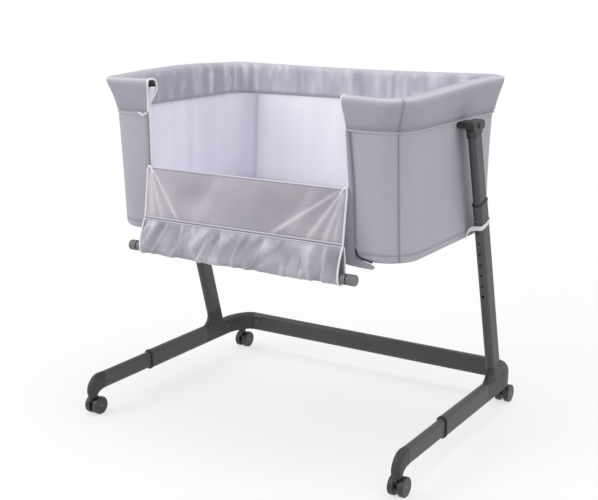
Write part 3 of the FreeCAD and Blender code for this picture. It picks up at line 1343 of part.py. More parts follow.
def make_rail_knob():
    """Ribbed push knob on the rail's end, standing off by its travel."""
    body = new_body("rail_knob")
    start = d.ferrule_end + d.knob_travel + 0.3
    cap = new_sketch(body, "YZ_Plane", offset=start)
    circle(cap, d.ferrule_radius)
    knob = pad(body, cap, d.knob_end - start)
    round_edges(body, knob, d.knob_edge, edges_in_plane("X", d.knob_end.number))
    plunger = new_sketch(body, "YZ_Plane", offset=start)
    circle(plunger, d.knob_plunger)
    pad(body, plunger, start - d.rail_half + 6.0, reverse=True)
    groove = new_sketch(body, "YZ_Plane", offset=d.knob_end - 5.0)
    circle(groove, 1.2, d.ferrule_radius + 0.2)
    rib = pocket(body, groove, d.knob_end - 5.0 - start - 3.0)
    pattern = body.newObject("PartDesign::PolarPattern", "Ribs")
    pattern.Originals = [rib]
    pattern.Axis = (groove, ["N_Axis"])
    pattern.Angle = 360
    pattern.Occurrences = 16
    body.Tip = pattern
    pair("rail_knob", on_rail(body))


make_drop_panel()
make_drop_cuff()
make_drop_rail()
make_rail_ferrules()
make_rail_knob()

document.recompute()
failed = [f"{item.Name} ({item.Label})" for item in document.Objects
          if "Invalid" in item.State or "Error" in item.State]
if failed:
    raise SystemExit("these objects failed: " + ", ".join(failed))
os.makedirs("parts", exist_ok=True)
for item in PARTS:
    shape = item.Shape
    if shape.isNull() or not shape.isValid():
        raise SystemExit(f"{item.Label} has no valid shape")
    shape.exportStep(f"parts/{item.Label}.step")
    box_ = shape.BoundBox
    print(item.Label, len(shape.Solids), round(shape.Volume / 1000, 2),
          [round(v, 1) for v in (box_.XMin, box_.XMax, box_.YMin, box_.YMax, box_.ZMin, box_.ZMax)])
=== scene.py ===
"""Bedside sleeper crib: the looks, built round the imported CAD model."""
import math

import bpy
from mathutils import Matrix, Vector, noise


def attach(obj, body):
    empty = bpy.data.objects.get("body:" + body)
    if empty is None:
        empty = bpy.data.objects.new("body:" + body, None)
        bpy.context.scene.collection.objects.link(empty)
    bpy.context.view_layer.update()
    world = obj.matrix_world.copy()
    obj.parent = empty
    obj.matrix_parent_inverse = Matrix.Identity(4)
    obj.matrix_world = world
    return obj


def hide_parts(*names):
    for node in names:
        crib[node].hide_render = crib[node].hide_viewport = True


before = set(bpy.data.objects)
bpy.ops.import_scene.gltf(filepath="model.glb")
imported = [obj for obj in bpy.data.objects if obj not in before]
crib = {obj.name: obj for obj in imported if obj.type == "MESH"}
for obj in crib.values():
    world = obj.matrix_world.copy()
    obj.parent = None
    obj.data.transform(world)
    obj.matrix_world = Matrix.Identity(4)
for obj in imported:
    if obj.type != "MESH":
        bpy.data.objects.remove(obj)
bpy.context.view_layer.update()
bpy.ops.object.select_all(action="DESELECT")

# ------------------------------------------------------------------ view
# The crib is seen from the bed's side and well to the right, a little above the rim, through a
# short telephoto lens.
VIEW_PLACE = (1.4548, -2.3340, 1.12)
VIEW_TILT, VIEW_TURN = math.radians(76.147), math.radians(32.258)
VIEW_LENS, VIEW_FILM = 64.94, 36.0
camera_data = bpy.data.cameras.new("photo_camera")
camera_data.sensor_width = VIEW_FILM
camera_data.lens = VIEW_LENS
camera = bpy.data.objects.new("photo_camera", camera_data)
camera.location = VIEW_PLACE
camera.rotation_euler = (VIEW_TILT, 0.0, VIEW_TURN)
bpy.context.scene.collection.objects.link(camera)
bpy.context.scene.camera = camera


# ------------------------------------------------------------------ studio
# A seamless pale paper floor that fades into a white surround, lit by three wide soft boxes. The
# surround is white to the eye and in gloss and glass, and dimmer as light on the crib.
FLOOR_RADIUS, FLOOR_DROP = 5.0, 0.0005
FADE_START, FADE_END = 0.9, 2.4
FLOOR_CLEARNESS = 0.64  # how clear the paper is before it fades
SURROUND_LIGHT = 0.62


def linear(code):
    """An sRGB hex colour as linear light."""
    parts = [int(code[i:i + 2], 16) / 255 for i in (1, 3, 5)]
    return [c / 12.92 if c <= 0.04045 else ((c + 0.055) / 1.055) ** 2.4 for c in parts] + [1.0]


def add(tree, kind, inputs=None, **settings):
    """Adds a node, sets it, and links or fills its inputs."""
    made = tree.nodes.new(kind)
    for key, value in settings.items():
        setattr(made, key, value)
    for key, value in (inputs or {}).items():
        if isinstance(value, bpy.types.NodeSocket):
            tree.links.new(value, made.inputs[key])
        else:
            made.inputs[key].default_value = value
    return made


bpy.ops.mesh.primitive_circle_add(vertices=96, radius=FLOOR_RADIUS, fill_type="NGON",
                                  location=(0, 0, -FLOOR_DROP))
studio_floor = bpy.context.object
studio_floor.name = "studio_floor"
floor_paper = bpy.data.materials.new("pale_floor_paper")
floor_paper.use_nodes = True
tree = floor_paper.node_tree
tree.nodes.clear()
place = add(tree, "ShaderNodeTexCoord")
reach = add(tree, "ShaderNodeVectorMath", {0: place.outputs["Object"]}, operation="LENGTH")
fade = add(tree, "ShaderNodeMapRange", {0: reach.outputs["Value"], 1: FADE_START, 2: FADE_END,
                                        3: FLOOR_CLEARNESS, 4: 1.0}, clamp=True)
paper = add(tree, "ShaderNodeBsdfDiffuse", {"Color": linear("#F6F6F6")})
clear = add(tree, "ShaderNodeBsdfTransparent")
mixed = add(tree, "ShaderNodeMixShader", {0: fade.outputs[0], 1: paper.outputs[0], 2: clear.outputs[0]})
add(tree, "ShaderNodeOutputMaterial", {"Surface": mixed.outputs[0]})
studio_floor.data.materials.append(floor_paper)

world = bpy.data.worlds.new("white_surround")
bpy.context.scene.world = world
world.use_nodes = True
tree = world.node_tree
tree.nodes.clear()
ray = add(tree, "ShaderNodeLightPath")
seen = add(tree, "ShaderNodeMath", {0: ray.outputs["Is Camera Ray"], 1: ray.outputs["Is Glossy Ray"]},
           operation="MAXIMUM")
seen = add(tree, "ShaderNodeMath", {0: seen.outputs[0], 1: ray.outputs["Is Transmission Ray"]},
           operation="MAXIMUM")
level = add(tree, "ShaderNodeMapRange", {0: seen.outputs[0], 3: SURROUND_LIGHT, 4: 1.0})
sky = add(tree, "ShaderNodeBackground", {"Color": (1, 1, 1, 1), "Strength": level.outputs[0]})
add(tree, "ShaderNodeOutputWorld", {"Surface": sky.outputs[0]})


def soft_box(name, place, aim, width, power):
    """A square lamp, its width in metres and its power in watts."""
    lamp = bpy.data.lights.new(name, "AREA")
    lamp.shape = "SQUARE"
    lamp.size = width
    lamp.energy = power
    holder = bpy.data.objects.new(name, lamp)
    holder.location = place
    holder.rotation_euler = (Vector(aim) - Vector(place)).to_track_quat("-Z", "Y").to_euler()
    bpy.context.scene.collection.objects.link(holder)


soft_box("key_from_the_left", (-2.6, -2.6, 3.0), (0, 0, 0.5), 2.4, 62)
soft_box("fill_from_the_right", (3.2, -1.6, 1.8), (0, 0, 0.5), 2.4, 19)
soft_box("top_light", (0.3, 0.4, 3.4), (0, 0, 0.4), 2.6, 42)
bpy.context.scene.view_settings.view_transform = "Standard"


# ------------------------------------------------------------------ steel frame
# Crossbar, feet, columns, risers and the hidden tubes: flat-oval and round steel tube,
# bent, drilled and powder coated in a satin dark grey with a fine orange peel.
def surface(name, **settings):
    """A new material with its shader; returns the material, its tree and its shader."""
    made = bpy.data.materials.new(name)
    made.use_nodes = True
    shader = made.node_tree.nodes["Principled BSDF"]
    for key, value in settings.items():
        shader.inputs[key.replace("_", " ")].default_value = value
    return made, made.node_tree, shader


def mottle(tree, shader, dark, light, scale, detail):
    """Colours a shader in two close tones, in soft patches; returns the tone and the patches."""
    at = add(tree, "ShaderNodeTexCoord")
    patch = add(tree, "ShaderNodeTexNoise", {"Vector": at.outputs["Object"], "Scale": scale,
                                             "Detail": detail})
    tone = add(tree, "ShaderNodeMix", {"Factor": patch.outputs["Fac"], 6: linear(dark),
                                       7: linear(light)}, data_type="RGBA")
    tree.links.new(tone.outputs[2], shader.inputs["Base Color"])
    return tone, patch


def roughen(tree, shader, scale, detail, strength):
    """Gives a shader a fine grain in relief, 0.4 mm deep at full strength."""
    at = add(tree, "ShaderNodeTexCoord")
    grain = add(tree, "ShaderNodeTexNoise", {"Vector": at.outputs["Object"], "Scale": scale,
                                             "Detail": detail})
    bump = add(tree, "ShaderNodeBump", {"Height": grain.outputs["Fac"], "Strength": strength,
                                        "Distance": 0.0004})
    tree.links.new(bump.outputs[0], shader.inputs["Normal"])


def coat(name):
    """The powder coat: satin, in two close greys, with an orange peel."""
    made, tree, shader = surface(name, Roughness=0.46)
    tone, _ = mottle(tree, shader, "#3D3D40", "#4A4A4E", scale=9.0, detail=4.0)
    roughen(tree, shader, scale=700.0, detail=2.0, strength=0.25)
    return made, tree, shader, tone


def dress(names, material):
    """Gives CAD nodes a finish."""
    for name in names:
        for held in crib[name].material_slots:
            held.material = material


powder_coat = coat("powder_coated_steel")[0]
dress([n for n in crib if n.startswith(("crossbar", "foot_outer", "foot_inner", "column_left",
                                        "column_right"))], powder_coat)
dress(["rim_frame_tube", "lower_frame_tube", "front_hoop_tube", "end_posts"], powder_coat)

# The risers: the length that slides in the column is painted near black as painted shade, which
# shows through the column's holes as their dark insides.
SLEEVED_TOP = 0.585
shaded_riser_coat, tree, shader, tone = coat("powder_coat_painted_dark_in_sleeve")
height = add(tree, "ShaderNodeSeparateXYZ", {0: add(tree, "ShaderNodeTexCoord").outputs["Object"]})
sleeved = add(tree, "ShaderNodeMapRange", {0: height.outputs["Z"], 1: SLEEVED_TOP,
                                           2: SLEEVED_TOP + 0.005, 3: 0.9, 4: 0.0})
hole_shade = add(tree, "ShaderNodeMix", {"Factor": sleeved.outputs[0], 6: tone.outputs[2],
                                     7: linear("#0C0C0D")}, data_type="RGBA")
tree.links.new(hole_shade.outputs[2], shader.inputs["Base Color"])
dress(["riser_left", "riser_right"], shaded_riser_coat)

# ------------------------------------------------------------------ mouldings
# Hubs, corner elbows, front elbows, riser heads, tube bushes and caster housings: injection
# moulded nylon, near black, with a spark-eroded texture that scatters the highlight.
nylon, tree, shader = surface("moulded_black_nylon", Roughness=0.52)
mottle(tree, shader, "#29292B", "#343437", scale=14.0, detail=3.0)
roughen(tree, shader, scale=900.0, detail=3.0, strength=0.35)
dress([n for n in crib if n.startswith(("corner_elbow", "leg_hub", "foot_elbow", "riser_head"))
       or n == "tube_bushes" or "housing" in n], nylon)

# Caster wheels: hard nylon with a smoother, slightly shiny tread, scuffed where they roll.
wheel_nylon, tree, shader = surface("rolled_wheel_nylon")
_, scuff = mottle(tree, shader, "#242426", "#3A3A3D", scale=160.0, detail=5.0)
rough = add(tree, "ShaderNodeMapRange", {0: scuff.outputs["Fac"], 3: 0.28, 4: 0.5})
tree.links.new(rough.outputs[0], shader.inputs["Roughness"])
dress([n for n in crib if "_wheel_" in n], wheel_nylon)

# Screws, caster pins and lock buttons: zinc-plated steel, dulled. The riser heads' bolts have
# nylon caps.
zinc, tree, shader = surface("dull_zinc_plate", Metallic=1.0, Roughness=0.38)
mottle(tree, shader, "#6E6E70", "#8E8E90", scale=300.0, detail=2.0)
dress([n for n in crib if "_pins_" in n or "button" in n] + ["frame_screws"], zinc)
dress(["head_bolts"], nylon)

# The rail with its end sleeves and knobs: mid grey moulded polypropylene, satin.
grey_knob, tree, shader = surface("moulded_grey_polypropylene", Roughness=0.42)
mottle(tree, shader, "#6C6C6F", "#7C7C7F", scale=60.0, detail=4.0)
dress([n for n in crib if n.startswith("rail_knob")] + ["rail_ferrules", "drop_rail"], grey_knob)

# Mattress board: thin hardboard, hidden under the mattress.
hardboard, tree, shader = surface("thin_hardboard", Roughness=0.7)
mottle(tree, shader, "#A98F6C", "#C4AE8C", scale=240.0, detail=6.0)
dress(["mattress_board"], hardboard)


# ------------------------------------------------------------------ cover
# The bassinet's outside: padded woven polyester with a melange grey face, sewn from five
# panels with seams at the corners, hanging from the rim and pulled over the lower ring.
BODY_X, BODY_CORNER = 0.4215, 0.080  # the body's half length and its corners' radius
OPENING = 0.276  # half the opening's width, before its edges lean
FOLD, BAND_FOOT = 0.676, 0.812  # heights of the opening's sill and of the band's lower edge
LEAN_END = 0.330  # half the width of the front that the leaning edges move
COVER_FOOT, HEM = 0.510, 0.010  # the cover's height above the floor, and its rounding there
FLARE_FOOT, FLARE_RISE = 0.514, 0.336  # where the cover's flare starts, and how far up it goes on
PINCH = 0.795  # the height where the lining starts forward to the pinched end of the band


def within(x):
    """The number, held between 0 and 1."""
    return max(0.0, min(1.0, x))


def ease(x):
    """From 0 to 1, slow at both ends."""
    x = within(x)
    return x * x * (3 - 2 * x)


def bell(x, width):
    """A smooth bump: 1 in the middle, and near nothing at twice its width."""
    return math.exp(-(x / width) ** 2)


def edge_at(z):
    """Half the opening's width at a height: it widens from the band's crest to the fold line."""
    return (0.280 + 0.006 * within((BAND_FOOT - z) / (BAND_FOOT - FOLD))
            - 0.0075 * ease((z - BAND_FOOT) / 0.07))


def spread(x, z):
    """Moves a point of the front so that the opening's edge leans."""
    wide, edge = abs(x), edge_at(z)
    if wide <= OPENING:
        return x * edge / OPENING
    if wide < LEAN_END:
        return math.copysign(edge + (LEAN_END - edge) * (wide - OPENING) / (LEAN_END - OPENING), x)
    return x


def woven(name, shade, light, painted_shading, thread, sheen, roughness=0.85, gleam="#EFEEF6"):
    """A woven cloth in two yarn colours, with slubs and a plain weave in relief, its threads the
    given metres apart. The point attribute of painted shading paints the cloth with shade,
    towards the given shade colour, where positive, and with a painted highlight in the gleam
    colour where negative."""
    made, tree, shader = surface(name, Roughness=roughness, Sheen_Weight=sheen, Sheen_Roughness=0.5,
                                 Specular_IOR_Level=0.25)
    at = add(tree, "ShaderNodeTexCoord")
    slub = add(tree, "ShaderNodeMapping", {"Vector": at.outputs["Object"], "Scale": (1, 1, 0.22)})
    yarn = add(tree, "ShaderNodeTexNoise", {"Vector": slub.outputs[0], "Scale": 0.5 / thread,
                                            "Detail": 3.0, "Roughness": 0.7})
    patch = add(tree, "ShaderNodeTexNoise", {"Vector": at.outputs["Object"], "Scale": 5.0, "Detail": 3.0})
    both = add(tree, "ShaderNodeMix", {0: 0.35, 2: yarn.outputs["Fac"], 3: patch.outputs["Fac"]})
    sharper = add(tree, "ShaderNodeMapRange", {0: both.outputs[0], 1: 0.3, 2: 0.7})
    tone = add(tree, "ShaderNodeMix", {"Factor": sharper.outputs[0], 6: linear(shade), 7: linear(light)},
               data_type="RGBA")
    # Painted shade where the attribute is positive, painted highlight where it is negative.
    fold = add(tree, "ShaderNodeAttribute", attribute_name="painted_shading")
    shaded_tone = add(tree, "ShaderNodeMix", {"Factor": fold.outputs["Fac"], 6: tone.outputs[2],
                                       7: linear(painted_shading)}, data_type="RGBA")
    stood = add(tree, "ShaderNodeMath", {0: fold.outputs["Fac"], 1: -1.0}, operation="MULTIPLY")
    highlighted_tone = add(tree, "ShaderNodeMix", {"Factor": stood.outputs[0], 6: shaded_tone.outputs[2],
                                         7: linear(gleam)}, data_type="RGBA")
    tree.links.new(highlighted_tone.outputs[2], shader.inputs["Base Color"])
    warp = add(tree, "ShaderNodeTexWave", {"Vector": at.outputs["Object"], "Scale": 0.16 / thread,
                                           "Distortion": 0.6}, bands_direction="Z")
    weft = add(tree, "ShaderNodeTexWave", {"Vector": at.outputs["Object"], "Scale": 0.16 / thread,
                                           "Distortion": 0.6}, bands_direction="DIAGONAL")
    weave = add(tree, "ShaderNodeMath", {0: warp.outputs["Fac"], 1: weft.outputs["Fac"]},
                operation="MULTIPLY")
    bump = add(tree, "ShaderNodeBump", {"Height": weave.outputs[0], "Strength": 0.3, "Distance": 0.0006})
    tree.links.new(bump.outputs[0], shader.inputs["Normal"])
    return made


outer_cloth = woven("melange_polyester_weave", "#A5A3AE", "#B1AFBA", "#7A7884", 0.0012, 0.15)
body_cloth = woven("padded_melange_polyester", "#B1AFBA", "#BDBBC6", "#7E7C88", 0.0012, 0.15)


def around(half_x, half_y, corner, column):
    """A point on a rounded rectangle, and the way out from it; columns are named stretches."""
    kind, t = column
    sx, sy = half_x - corner, half_y - corner
    if kind == "front":
        return Vector((t, -half_y)), Vector((0, -1))
    if kind == "right return":
        return Vector((OPENING + (sx - OPENING) * t, -half_y)), Vector((0, -1))
    if kind == "left return":
        return Vector((-sx + (sx - OPENING) * t, -half_y)), Vector((0, -1))
    if kind == "right end":
        return Vector((half_x, -sy + 2 * sy * t)), Vector((1, 0))
    if kind == "back":
        return Vector((sx - 2 * sx * t, half_y)), Vector((0, 1))
    if kind == "left end":
        return Vector((-half_x, sy - 2 * sy * t)), Vector((-1, 0))
    index = {"front right": 0, "back right": 1, "back left": 2, "front left": 3}[kind]
    middle = Vector((sx if index < 2 else -sx, -sy if index in (0, 3) else sy))
    angle = math.radians(-90 + 90 * index + 90 * t)
    way = Vector((math.cos(angle), math.sin(angle)))
    return middle + way * corner, way


def stretch(kind, count, last=False):
    """A straight stretch's columns, with the one at its end if it is the last."""
    return [(kind, i / count) for i in range(count + (1 if last else 0))]


def bend(kind):
    """A corner's columns, closer together beside its middle seam."""
    return [(kind, t) for t in (0, .12, .24, .35, .43, .475, .5, .525, .57, .65, .76, .88)]


front_columns = [("front", -OPENING + 2 * OPENING * i / 40) for i in range(40)]
rim_columns = (stretch("right return", 10) + bend("front right") + stretch("right end", 30)
               + bend("back right") + stretch("back", 56) + bend("back left")
               + stretch("left end", 30) + bend("front left") + stretch("left return", 10, last=True))
all_columns = front_columns + rim_columns


def pick(piece):
    """Selects one piece alone and makes it active."""
    bpy.ops.object.select_all(action="DESELECT")
    piece.select_set(True)
    bpy.context.view_layer.objects.active = piece


def cloth_grid(name, columns, rows, shape):
    """A grid whose points are moved to shape(i, j), which gives a place and its painted shading:
    painted shade above zero, a painted highlight below zero.
    """
    bpy.ops.mesh.primitive_grid_add(x_subdivisions=columns - 1, y_subdivisions=rows - 1, size=2)
    piece = bpy.context.object
    piece.name = name
    piece.data.name = name
    painted_shading = piece.data.attributes.new("painted_shading", "FLOAT", "POINT")
    for vertex in piece.data.vertices:
        i = round((vertex.co.x + 1) / 2 * (columns - 1))
        j = round((vertex.co.y + 1) / 2 * (rows - 1))
        spot, depth = shape(i, j)
        vertex.co = spot
        painted_shading.data[vertex.index].value = depth
    return piece


def in_edit(piece, step):
    """Runs a step on a piece in edit mode, with all of it selected."""
    pick(piece)
    bpy.ops.object.mode_set(mode="EDIT")
    bpy.ops.mesh.select_all(action="SELECT")
    step()
    bpy.ops.object.mode_set(mode="OBJECT")


def weld():
    """Joins a closed grid's first and last columns."""
    bpy.ops.mesh.remove_doubles(threshold=0.00005)


def drop_faces(piece, test):
    """Deletes the faces whose middle a test picks."""
    pick(piece)
    bpy.ops.object.mode_set(mode="EDIT")
    bpy.ops.mesh.select_all(action="DESELECT")
    bpy.ops.object.mode_set(mode="OBJECT")
    for face in piece.data.polygons:
        face.select = test(face.center)
    bpy.ops.object.mode_set(mode="EDIT")
    bpy.ops.mesh.select_mode(type="FACE")
    bpy.ops.mesh.delete(type="FACE")
    bpy.ops.object.mode_set(mode="OBJECT")


def finish(piece, material, body, thickness=None, levels=0, smooth=50):
    """Gives a piece its wall, smoothing, finish, body and slot; edges that turn by less than
    smooth degrees are shaded round."""
    pick(piece)
    if thickness:
        wall = piece.modifiers.new("wall", "SOLIDIFY")
        wall.thickness = thickness
        wall.offset = -1.0
        wall.use_even_offset = False
        bpy.ops.object.modifier_apply(modifier="wall")
    if levels:
        soften = piece.modifiers.new("soften", "SUBSURF")
        soften.levels = soften.render_levels = levels
        bpy.ops.object.modifier_apply(modifier="soften")
    bpy.ops.object.shade_smooth_by_angle(angle=math.radians(smooth))
    piece.data.materials.clear()
    piece.data.materials.append(material)
    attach(piece, body)
    return piece


def seam_at(column):
    """How far a column is into the seam at the middle of a corner, from 0 to 1."""
    kind, t = column
    return bell(t - 0.5, 0.02) if kind in ("front right", "back right", "back left", "front left") else 0.0


def cover_depth(z):
    """Half the cover's depth at a height: it flares by 20 mm toward the rim."""
    return 0.263 + 0.020 * (z - FLARE_FOOT) / FLARE_RISE


# Each row has its height, its share of the outline (under the base) and its inset (round the hem).
cover_rows = [(COVER_FOOT, share, 0.0) for share in (0.0, 0.3, 0.6, 0.85, 0.95)]
cover_rows += [(COVER_FOOT + HEM * (1 - math.cos(turn)), 1.0, HEM * (1 - math.sin(turn)))
               for turn in (math.radians(a) for a in (0, 18, 36, 54, 72, 90))]
cover_rows += [(z / 1000, 1.0, 0.0)
               for z in (524, 528, 530, 532, 536, 544, 554, 568, 584, 600, 616, 632, 646, 660, 669, 676,
                         684, 694, 708, 722, 738, 754, 770, 786, 800, 812, 822, 836, 850)]


def cover_shape(i, j):
    """The cloth bellies in between hem and rim, and is drawn in 2.2 mm along each corner seam;
    the seams and the hem's sewn line are painted in shade.
    """
    column, (z, share, inset) = all_columns[i % len(all_columns)], cover_rows[j]
    wall = share == 1.0
    spot, way = around(BODY_X - inset, cover_depth(z) - inset, BODY_CORNER - inset * 0.5, column)
    seam = seam_at(column) if wall else 0.0
    height = (z - FLARE_FOOT) / FLARE_RISE
    slack = noise.noise(Vector((spot.x * 5, spot.y * 5, z * 2.2))) * 0.0022
    slack += 0.0012 * noise.noise(Vector((spot.x * 16, spot.y * 16, z * 4)))
    slack -= 0.0022 * math.sin(math.pi * min(1.0, height)) * (1 - seam)
    slack *= 1 - bell(height, 0.12)
    slack -= seam * 0.0022
    spot = spot * share + way * slack * share
    if wall and way.y == -1.0:
        spot.x = spread(spot.x, z)
    # Painted shade along the hem's sewn line, and along each corner seam.
    sewn_hem = 0.55 * bell(z - 0.530, 0.0022) if wall else 0.0
    return Vector((spot.x, spot.y, z)), max(0.85 * seam, sewn_hem)


cover = cloth_grid("cover", len(all_columns) + 1, len(cover_rows), cover_shape)
in_edit(cover, weld)
drop_faces(cover, lambda c: abs(c.x) < edge_at(c.z) and c.y < -0.2 and c.z > FOLD)
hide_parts("cover_shell")
finish(cover, body_cloth, "cot", thickness=0.004, levels=1)

# ------------------------------------------------------------------ lining
# Inside: a smooth pale polyester, one back panel and two end panels joined at the corners,
# hanging slack from the rim with soft upright folds.
lining_cloth = woven("pale_polyester_lining", "#DFDDE9", "#E8E6F1", "#B7B4C7", 0.0009, 0.1, gleam="#FCFBFF")
LINING_X, LINING_CORNER, LINING_SILL = 0.395, 0.060, 0.662
lining_rows = [z / 1000 for z in (543, 556, 572, 590, 608, 626, 644, 660, 672, 690, 708, 726, 744,
                                  762, 780, 798, 814, 830, 845, 856)]


def lining_depth(z):
    """Half the lining's depth at a height: it flares by 20 mm toward the rim."""
    return 0.242 + 0.020 * (z - 0.540) / 0.315


def beside_opening(column):
    """How near a column of the two short front stretches is to the opening, from 0 to 1."""
    kind, t = column
    if kind == "right return":
        return 1 - ease(t / 0.85)
    if kind == "left return":
        return ease((t - 0.15) / 0.85)
    return 0.0


def lining_shape(i, j):
    """Two sizes of soft upright fold, faint streaks of painted shade and painted highlight, and a
    fold seam 0.325 m left of the middle, painted in shade. The back is painted lighter to the
    right of that seam, and more so right of the middle, as painted light. It is held flat behind
    the band, and comes forward to the cover beside the opening, where the band's end is pinched."""
    column, z = all_columns[i % len(all_columns)], lining_rows[j]
    spot, way = around(LINING_X, lining_depth(z), LINING_CORNER, column)
    fold = 0.0020 * noise.noise(Vector((spot.x * 14, spot.y * 14, z * 1.3)))
    fold += 0.0016 * noise.noise(Vector((spot.x * 34, spot.y * 34, z * 0.8 + 3)))
    painted_shading = 0.0
    if column[0] == "back":
        fold += 0.0012 * math.sin(spot.x * 75 + 3 * noise.noise(Vector((spot.x * 6, 0, z * 2))))
        # Painted shade along the fold seam, and painted light over the back to its right.
        painted_shading = 0.6 * bell(spot.x + 0.325, 0.006)
        painted_shading -= 0.55 * ease((spot.x + 0.33) / 0.06) + 0.30 * ease((spot.x - 0.02) / 0.2)
    # Streaks of painted shade and painted highlight.
    streak = noise.noise(Vector((spot.x * 26, spot.y * 26, z * 1.5))) * 0.28
    painted_shading += streak * ease((z - 0.56) / 0.05)
    spot.y -= 0.0165 * beside_opening(column) * ease((z - PINCH) / 0.03)
    fold = (fold - 0.003) * (1 - 0.9 * ease((z - 0.775) / 0.035))
    spot = spot + way * (fold - 0.002 * max(painted_shading, 0.0))
    if way.y == -1.0:
        spot.x = spread(spot.x, z)
    return Vector((spot.x, spot.y, z)), painted_shading


lining = cloth_grid("lining_inside", len(all_columns) + 1, len(lining_rows), lining_shape)
in_edit(lining, weld)
drop_faces(lining, lambda c: abs(c.x) < edge_at(c.z) and c.y < -0.2 and c.z > LINING_SILL)
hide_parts("lining")
finish(lining, lining_cloth, "cot", thickness=0.0018, levels=1)

# ------------------------------------------------------------------ facing
# A strip of the lining's cloth sewn over the cut edges beside and below the opening, from the
# cover's face to the lining's. It is padded over the hoop, and its sill slopes inward.
facing_heights = [z / 1000 for z in (680, 688, 700, 720, 750, 780, 810, 830, 850, 862, 876)]
facing_path = ([(-OPENING, z) for z in reversed(facing_heights)]
               + [(-OPENING + 0.004, FOLD + 0.001)]
               + [(-OPENING + 2 * OPENING * i / 30, FOLD + 0.0005) for i in range(1, 30)]
               + [(OPENING - 0.004, FOLD + 0.001)]
               + [(OPENING, z) for z in facing_heights])


def facing_shape(i, j):
    """Narrows to 6 mm where the band's end is pinched, and puffs out 2.6 mm along its middle.
    Its sill is painted in shade.
    """
    x, z = facing_path[i]
    across = j / 6
    outer = -cover_depth(z) + 0.001
    inner = -lining_depth(z) + 0.005
    inner += (outer + 0.006 - inner) * ease((z - PINCH) / 0.03) * (1 - ease((z - 0.845) / 0.017))
    y = outer + (inner - outer) * across
    puff = 0.0026 * math.sin(math.pi * across)
    if abs(x) > OPENING - 0.001:
        return Vector((spread(x, z) - math.copysign(puff, x), y, z)), 0.0
    # The sill is painted in shade.
    return Vector((spread(x, z), y, z + puff - 0.013 * across)), 0.6


facing = cloth_grid("opening_facing_strip", len(facing_path), 7, facing_shape)
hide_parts("opening_facing")
finish(facing, lining_cloth, "cot", thickness=0.0015, levels=1)

# ------------------------------------------------------------------ rim band
# The padded band over the rim tube: the outer cloth folded over foam, gathered on the inside,
# with an upright seam at each corner and a sewn lower edge.
band_section = (  # half length, half depth, height, corner, all in metres, from the outside over
    (0.4232, 0.2822, 0.8128, 0.082), (0.4246, 0.2838, 0.8150, 0.082), (0.4256, 0.2848, 0.8240, 0.080),
    (0.4272, 0.2862, 0.8360, 0.076), (0.4290, 0.2878, 0.8490, 0.070), (0.4310, 0.2896, 0.8620, 0.062),
    (0.4330, 0.2912, 0.8740, 0.055), (0.4336, 0.2916, 0.8815, 0.051), (0.4326, 0.2906, 0.8868, 0.050),
    (0.4296, 0.2876, 0.8900, 0.050), (0.4240, 0.2820, 0.8914, 0.050), (0.4130, 0.2730, 0.8916, 0.050),
    (0.4030, 0.2650, 0.8906, 0.050), (0.3950, 0.2590, 0.8876, 0.050), (0.3900, 0.2556, 0.8820, 0.050),
    (0.3876, 0.2540, 0.8730, 0.051), (0.3868, 0.2533, 0.8620, 0.052), (0.3868, 0.2532, 0.8490, 0.053),
    (0.3872, 0.2533, 0.8360, 0.054), (0.3880, 0.2538, 0.8240, 0.054), (0.3887, 0.2542, 0.8150, 0.054),
    (0.3898, 0.2552, 0.8130, 0.054))
SEWN_ROWS = (1, 20)
LAST_OUTSIDE, FIRST_INSIDE = 9, 12  # rows; those between are the band's top
crest_run = {  # millimetres above the straight tube inside, at a stretch's start and end, and its bow
    "right return": (-6, -9, 0), "front right": (-9, -7, 0), "right end": (-7, 6, 2),
    "back right": (6, 6, 0), "back": (6, 8, -4), "back left": (8, 8, 0), "left end": (8, 4, 7),
    "front left": (4, 3, 0), "left return": (3, 4, 0)}


def crest(column):
    """How much higher or lower the band's top runs than the straight tube inside it."""
    kind, t = column
    start, end, bow = crest_run[kind]
    return 0.001 * (start + (end - start) * ease(t) + bow * math.sin(math.pi * t))


def gathers(spot, z):
    """The inner face's upright gathers: sharp ridges a few millimetres wide, unevenly spaced."""
    run = spot.x + spot.y + 0.012 * noise.noise(Vector((spot.x * 20, spot.y * 20, z * 14)))
    sharp = 1 - min(1.0, 3.2 * abs(noise.noise(Vector((run * 38, 2.0, z * 3)))))
    fine = 1 - min(1.0, 3.2 * abs(noise.noise(Vector((run * 90, 7.0, z * 4)))))
    broad = noise.noise(Vector((run * 17, 4.0, 0)))
    return 0.6 * sharp ** 2 + 0.3 * fine ** 2 + 0.5 * broad


